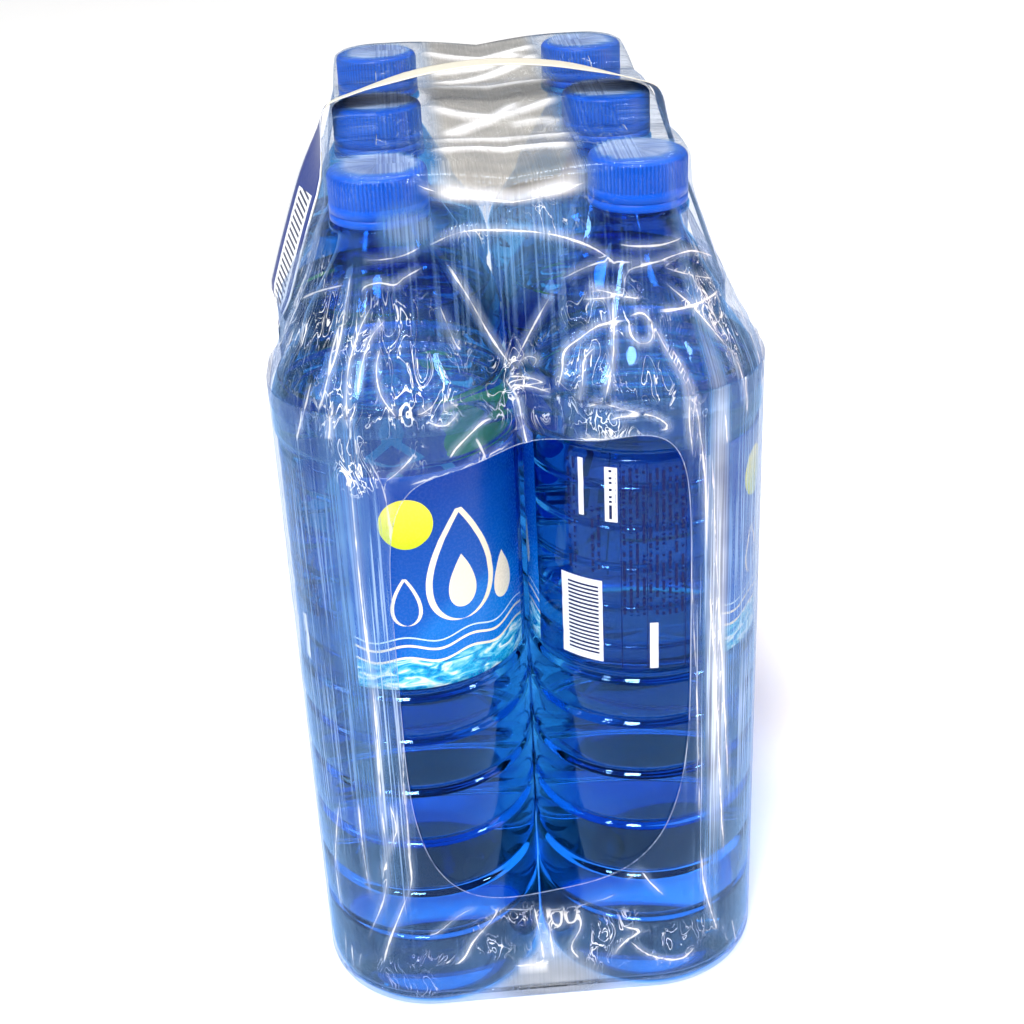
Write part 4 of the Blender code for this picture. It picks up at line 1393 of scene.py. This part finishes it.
def label_print():
    # Clear polypropylene label film with opaque blue print, shrunk on the bottle. Its grain is 1 mm.
    material, tree = new_material("printed_label_film")
    flat = node(tree, "UVMap", uv_map="print")
    size = TO_MM * LABEL_LENGTH
    turned = node(tree, "VectorMath", [flat, (1.0, size, 0.0)], operation="MULTIPLY")
    share, z = node(tree, "SeparateXYZ", [turned], output=slice(2))
    signed = node(tree, "Math", [share, 0.5, -0.5], operation="WRAP")
    along = node(tree, "Math", [signed, size], operation="MULTIPLY")
    side = node(tree, "Math", [along], operation="SIGN")
    x = node(tree, "Math", [side, -PANEL_MIDDLE, along], operation="MULTIPLY_ADD")
    panel = node(tree, "Math", [x, 0.0, PANEL_HALF_WIDTH], operation="COMPARE")
    place = node(tree, "CombineXYZ", [x, z])
    ink = panel_print(tree, x, z, place)
    pale, dark = small_print(tree, along, z)
    marks = node(tree, "Mix", {0: dark, 6: colour("#E9EEF8"), 7: colour("#0A1A50")}, **COLOURS)
    ink = node(tree, "Mix", {0: panel, 6: marks, 7: ink}, **COLOURS)
    grain, bump, rough = moulded_skin(tree, flat, 260.0, 1.0, 0.12, 0.0002, (0.20, 0.34))
    skin = {"Base Color": ink, "Roughness": rough, "Normal": bump, "Specular IOR Level": 0.2}
    printed = node(tree, "BsdfPrincipled", skin)
    gloss_rough = node(tree, "MapRange", {0: grain, 3: 0.05, 4: 0.10})
    clear = see_through(tree, colour("#EEF5FC"), colour("#8CB8F0"), 1.4, gloss_rough, bump)
    thin = node(tree, "BsdfTransparent", {"Color": colour("#EEF5FC")})
    lamp_ray = node(tree, "LightPath", output="Is Shadow Ray")
    window = node(tree, "MixShader", [lamp_ray, clear, thin])
    cover = node(tree, "Math", [pale, dark], operation="MAXIMUM")
    cover = node(tree, "Math", [cover, panel], operation="MAXIMUM")
    front = node(tree, "MixShader", [cover, window, printed])
    inner_side = node(tree, "NewGeometry", output="Backfacing")
    node(tree, "OutputMaterial", [node(tree, "MixShader", [inner_side, front, thin])])
    return material


def painted_glint_threads(tree, crinkle, soft, crumple):
    """Painted glints: white threads where the crinkle noise crosses its mean, broken up by the soft noise."""
    off = node(tree, "Math", [crinkle, 0.5], operation="SUBTRACT")
    off = node(tree, "Math", [off], operation="ABSOLUTE")
    width = node(tree, "MapRange", [soft, 0.38, 0.66, 0.0, 0.026])
    thread = node(tree, "Math", [width, off], operation="SUBTRACT")
    thread = node(tree, "MapRange", [thread, 0.0, 0.010])
    return node(tree, "Math", [thread, crumple], operation="MULTIPLY")


def painted_fold_highlights(tree, place, across, away, white, dull):
    """Painted highlights along the folds: a bright core that wanders between nothing and 1 mm,
    in a wider faint band.

    Two folds that lie side by side have no line between them, because the distance itself is large there.
    """
    gap = node(tree, "Math", [across], operation="ABSOLUTE")
    fine = node(tree, "TexNoise", {"Vector": place, "Scale": 75.0, "Detail": 3.0, "Roughness": 0.6})
    core = node(tree, "MapRange", [fine, 0.36, 0.66, 0.0, 0.50])
    crest = node(tree, "Math", [core, gap], operation="SUBTRACT")
    crest = node(tree, "MapRange", {0: crest, 1: -0.14, 2: 0.18, 4: 0.85})
    real = node(tree, "MapRange", [away, 1.3, 0.8])
    crest = node(tree, "Math", [crest, real], operation="MULTIPLY")
    band = node(tree, "MapRange", {0: away, 1: 2.8, 2: 0.4, 4: 0.24})
    crest = node(tree, "Math", [crest, band], operation="MAXIMUM")
    crest = node(tree, "Math", [crest, white], operation="MULTIPLY")
    # Broad white gleams lie along the folds of the slack film on top.
    gleam = node(tree, "MapRange", {0: away, 1: 5.5, 2: 0.5, 4: 0.60})
    gleam = node(tree, "Math", [gleam, white], operation="MULTIPLY")
    gleam = node(tree, "Math", [gleam, dull], operation="MULTIPLY")
    return node(tree, "Math", [crest, gleam], operation="MAXIMUM")


def film_relief(tree, crumple, crinkle, drawn, lines, soft):
    """The bump of the crinkles, of the drawn hairlines and of a soft unevenness."""
    height = node(tree, "Math", [crumple, 0.9, 0.12], operation="MULTIPLY_ADD")
    height = node(tree, "Math", [height, crinkle], operation="MULTIPLY")
    ribs = node(tree, "Math", [drawn, 0.22, 0.05], operation="MULTIPLY_ADD")
    ribs = node(tree, "Math", [ribs, lines], operation="MULTIPLY")
    height = node(tree, "Math", [height, ribs], operation="ADD")
    height = node(tree, "Math", [soft, 0.5, height], operation="MULTIPLY_ADD")
    return node(tree, "Bump", {"Strength": 0.75, "Distance": 0.003, "Height": height})


def film_plastic():
    # Clear polyethylene film, heat-shrunk: glossy and milky where thick. The whiteness along folds, crinkles
    # and drawn lines is painted highlight, much of its milkiness painted reflection and its grey patches
    # painted shade.
    material, tree = new_material("clear_shrink_film")
    flat = node(tree, "UVMap", uv_map="film")
    across, away, white, crumple, drawn, milk_and_sheen_share, dull = [
        node(tree, "Attribute", output="Fac", attribute_name=name) for name in FILM_VALUES
    ]

    stretched = node(tree, "VectorMath", [flat, HAIRLINE_CELLS], operation="MULTIPLY")
    hairs = {"Vector": stretched, "Scale": 1.0, "Detail": 2.0}
    lines = node(tree, "TexNoise", hairs, noise_dimensions="2D")
    squeezed = node(tree, "VectorMath", [flat, CRINKLE_CELLS], operation="MULTIPLY")
    crinkle = node(
        tree,
        "TexNoise",
        {"Vector": squeezed, "Scale": 1.0, "Detail": 2.5, "Roughness": 0.55, "Distortion": 1.6},
        noise_dimensions="2D",
    )
    place = node(tree, "TexCoord", output="Object")
    soft = node(tree, "TexNoise", {"Vector": place, "Scale": 60.0, "Detail": 1.0})

    # Painted highlights: glinting threads on the crinkles and bright lines along the folds.
    thread = painted_glint_threads(tree, crinkle, soft, crumple)
    crest = painted_fold_highlights(tree, place, across, away, white, dull)
    # Painted highlight: the drawn hairlines are whitened.
    hair = node(tree, "MapRange", {0: lines, 1: 0.56, 2: 0.64, 4: 0.42})
    hair = node(tree, "Math", [hair, drawn], operation="MULTIPLY")
    # The haze follows the milkiness, which carries the painted reflections, streaked by the drawn lines.
    haze = node(tree, "MapRange", [soft, 0.3, 0.7, 0.7, 1.25])
    haze = node(tree, "Math", [haze, milk_and_sheen_share], operation="MULTIPLY")
    # Where the film is greyed with painted shade, its streaks and pale patches fade.
    bare = node(tree, "Math", [1.0, dull], operation="SUBTRACT")
    streaks = node(tree, "MapRange", [lines, 0.32, 0.62, -0.35, 0.25])
    streaks = node(tree, "Math", [streaks, bare, 1.0], operation="MULTIPLY_ADD")
    haze = node(tree, "Math", [haze, streaks], operation="MULTIPLY")
    total = node(tree, "Math", [thread, crest], operation="MAXIMUM")
    bright = node(tree, "Math", [hair, 0.35, total], operation="MULTIPLY_ADD")
    bright = node(tree, "MapRange", [bright, 0.0, 0.4])
    # Where the milkiness and its painted reflection are strong, the film is painted near white.
    pale = node(tree, "MapRange", [milk_and_sheen_share, 0.25, 0.70])
    pale = node(tree, "Math", [pale, bare], operation="MULTIPLY")
    bright = node(tree, "Math", [bright, pale], operation="MAXIMUM")
    total = node(tree, "Math", [total, hair], operation="ADD")
    total = node(tree, "Math", [total, haze], operation="ADD", use_clamp=True)

    bump = film_relief(tree, crumple, crinkle, drawn, lines, soft)
    rough = node(tree, "MapRange", {0: soft, 3: 0.05, 4: 0.12})
    thick = node(tree, "Math", [milk_and_sheen_share, 1.6], operation="MULTIPLY", use_clamp=True)
    tint = node(tree, "Mix", {0: thick, 6: colour("#F8FAFE"), 7: colour("#84868A")}, **COLOURS)
    # Painted shade greys what shows through the film and its milkiness, on the grey strip and in the pocket
    # at the foot.
    tint = node(tree, "Mix", {0: dull, 6: tint, 7: colour("#A4A29C")}, **COLOURS)
    wall = see_through(tree, tint, colour("#98B0D4"), 1.4, rough, bump)
    tone = node(tree, "Mix", {0: dull, 6: colour("#7AB8F8"), 7: colour("#BCBAB4")}, **COLOURS)
    tone = node(tree, "Mix", {0: bright, 6: tone, 7: colour("#FAFBFF")}, **COLOURS)
    milk = node(tree, "BsdfPrincipled", {"Base Color": tone, "Roughness": 0.3, "Normal": bump})
    mixed = node(tree, "MixShader", [total, wall, milk])
    output_wall(tree, mixed, colour("#F1F4FB"))
    return material


def strap_plastic():
    # Printed polypropylene tape with a grain of 1.4 mm: cream over the top, navy down both arms,
    # and a painted grey shade on the faces that look inwards.
    material, tree = new_material("printed_strap_tape")
    flat = node(tree, "UVMap", uv_map="strap")
    run, side = node(tree, "SeparateXYZ", [flat], output=slice(2))
    reach = node(tree, "Math", [run], operation="ABSOLUTE")
    arm = node(tree, "Math", [reach, STRAP_CREAM_END], operation="GREATER_THAN")
    tone = node(tree, "Mix", {0: arm, 6: colour("#E0DCCC"), 7: colour("#12307C")}, **COLOURS)
    off_middle = node(tree, "Math", [side, 0.5], operation="SUBTRACT")
    off_middle = node(tree, "Math", [off_middle], operation="ABSOLUTE")
    border = node(tree, "Math", [off_middle, STRAP_BORDER_FROM], operation="GREATER_THAN")
    border = node(tree, "Math", [border, arm], operation="MULTIPLY")
    tone = node(tree, "Mix", {0: border, 6: tone, 7: colour("#E8ECF4")}, **COLOURS)
    low, high = STRAP_PANEL
    along = node(tree, "Math", [reach, (low + high) / 2, (high - low) / 2], operation="COMPARE")
    wide = node(tree, "Math", [side, 0.5, STRAP_PANEL_REACH], operation="COMPARE")
    panel = node(tree, "Math", [along, wide], operation="MULTIPLY")
    tone = node(tree, "Mix", {0: panel, 6: tone, 7: colour("#EEF1F6")}, **COLOURS)
    slant = node(tree, "Math", [side, STRAP_BAR_SLANT, reach], operation="MULTIPLY_ADD")
    slant = node(tree, "Math", [slant, STRAP_BAR_SPACING], operation="DIVIDE")
    slant = node(tree, "Math", [slant], operation="FRACT")
    bar = node(tree, "Math", [slant, STRAP_BAR_SHARE], operation="LESS_THAN")
    inner = node(tree, "Math", [side, 0.5, STRAP_BAR_REACH], operation="COMPARE")
    bar = node(tree, "Math", [bar, inner], operation="MULTIPLY")
    bar = node(tree, "Math", [bar, along], operation="MULTIPLY")
    tone = node(tree, "Mix", {0: bar, 6: tone, 7: colour("#141C48")}, **COLOURS)
    # Painted shade: faces that look inwards are greyed.
    inside = node(tree, "Math", [side, 1.5], operation="GREATER_THAN")
    tone = node(tree, "Mix", {0: inside, 6: tone, 7: colour("#C9C6BC")}, **COLOURS)
    place = node(tree, "TexCoord", output="Object")
    _, bump, rough = moulded_skin(tree, place, 700.0, 2.0, 0.2, 0.0002, (0.3, 0.45))
    tape = node(tree, "BsdfPrincipled", {"Base Color": tone, "Roughness": rough, "Normal": bump})
    node(tree, "OutputMaterial", [tape])
    return material


def studio():
    """A pale floor, a pale room, soft lamps and the photograph's camera."""
    bpy.ops.object.select_all(action="DESELECT")
    bpy.ops.mesh.primitive_plane_add(size=12.0, location=(0.0, 2.0, 0.0))
    floor = bpy.context.object
    floor.name = "studio_floor"
    material, tree = new_material("pale_floor")
    surface = node(
        tree,
        "BsdfPrincipled",
        {"Base Color": colour("#FAFAFA"), "Roughness": 0.9, "Specular IOR Level": 0.1},
    )
    node(tree, "OutputMaterial", [surface])
    floor.data.materials.append(material)
    world = bpy.data.worlds.new("pale_room")
    world.use_nodes = True
    world.cycles.sampling_method = "NONE"
    bpy.context.scene.world = world
    world.node_tree.nodes.clear()
    sky = node(world.node_tree, "Background", {"Color": colour("#F6F8FC"), "Strength": 0.25})
    node(world.node_tree, "OutputWorld", [sky])
    location, strength, width = MAIN_LAMP
    main = bpy.data.lights.new("main_lamp", "SUN")
    main.energy = strength
    main.angle = math.radians(width)
    lamps = [(main, location)]
    for index, (location, size, power, code) in enumerate(LAMPS):
        light = bpy.data.lights.new(f"soft_lamp_{index}", "AREA")
        light.size = size
        light.energy = power
        light.color = colour(code)[:3]
        lamps.append((light, location))
    for light, location in lamps:
        lamp = bpy.data.objects.new(light.name, light)
        lamp.location = location
        lamp.rotation_euler = (Vector(LAMPS_AIM) - Vector(location)).to_track_quat("-Z", "Y").to_euler()
        lamp.visible_camera = False
        lamp.visible_transmission = False
        bpy.context.scene.collection.objects.link(lamp)
    view = bpy.data.cameras.new("camera")
    view.lens = CAMERA_LENS
    camera = bpy.data.objects.new("camera", view)
    camera.location = CAMERA_PLACE
    camera.rotation_euler = [math.radians(angle) for angle in CAMERA_TURN]
    bpy.context.scene.collection.objects.link(camera)
    scene = bpy.context.scene
    scene.camera = camera
    scene.view_settings.view_transform = "Standard"
    scene.cycles.max_bounces = 12
    scene.cycles.transmission_bounces = 10
    scene.cycles.transparent_max_bounces = 64
    scene.cycles.glossy_bounces = 3
    scene.cycles.diffuse_bounces = 2
    scene.cycles.use_adaptive_sampling = True
    scene.cycles.adaptive_threshold = 0.04
    scene.cycles.adaptive_min_samples = 12
    scene.cycles.use_denoising = True


make_bottles(blue_pet(), wetted_pet())
make_water(still_water())
make_caps(cap_plastic())
make_labels(label_print())
make_film(film_plastic())
make_strap(strap_plastic())
studio()
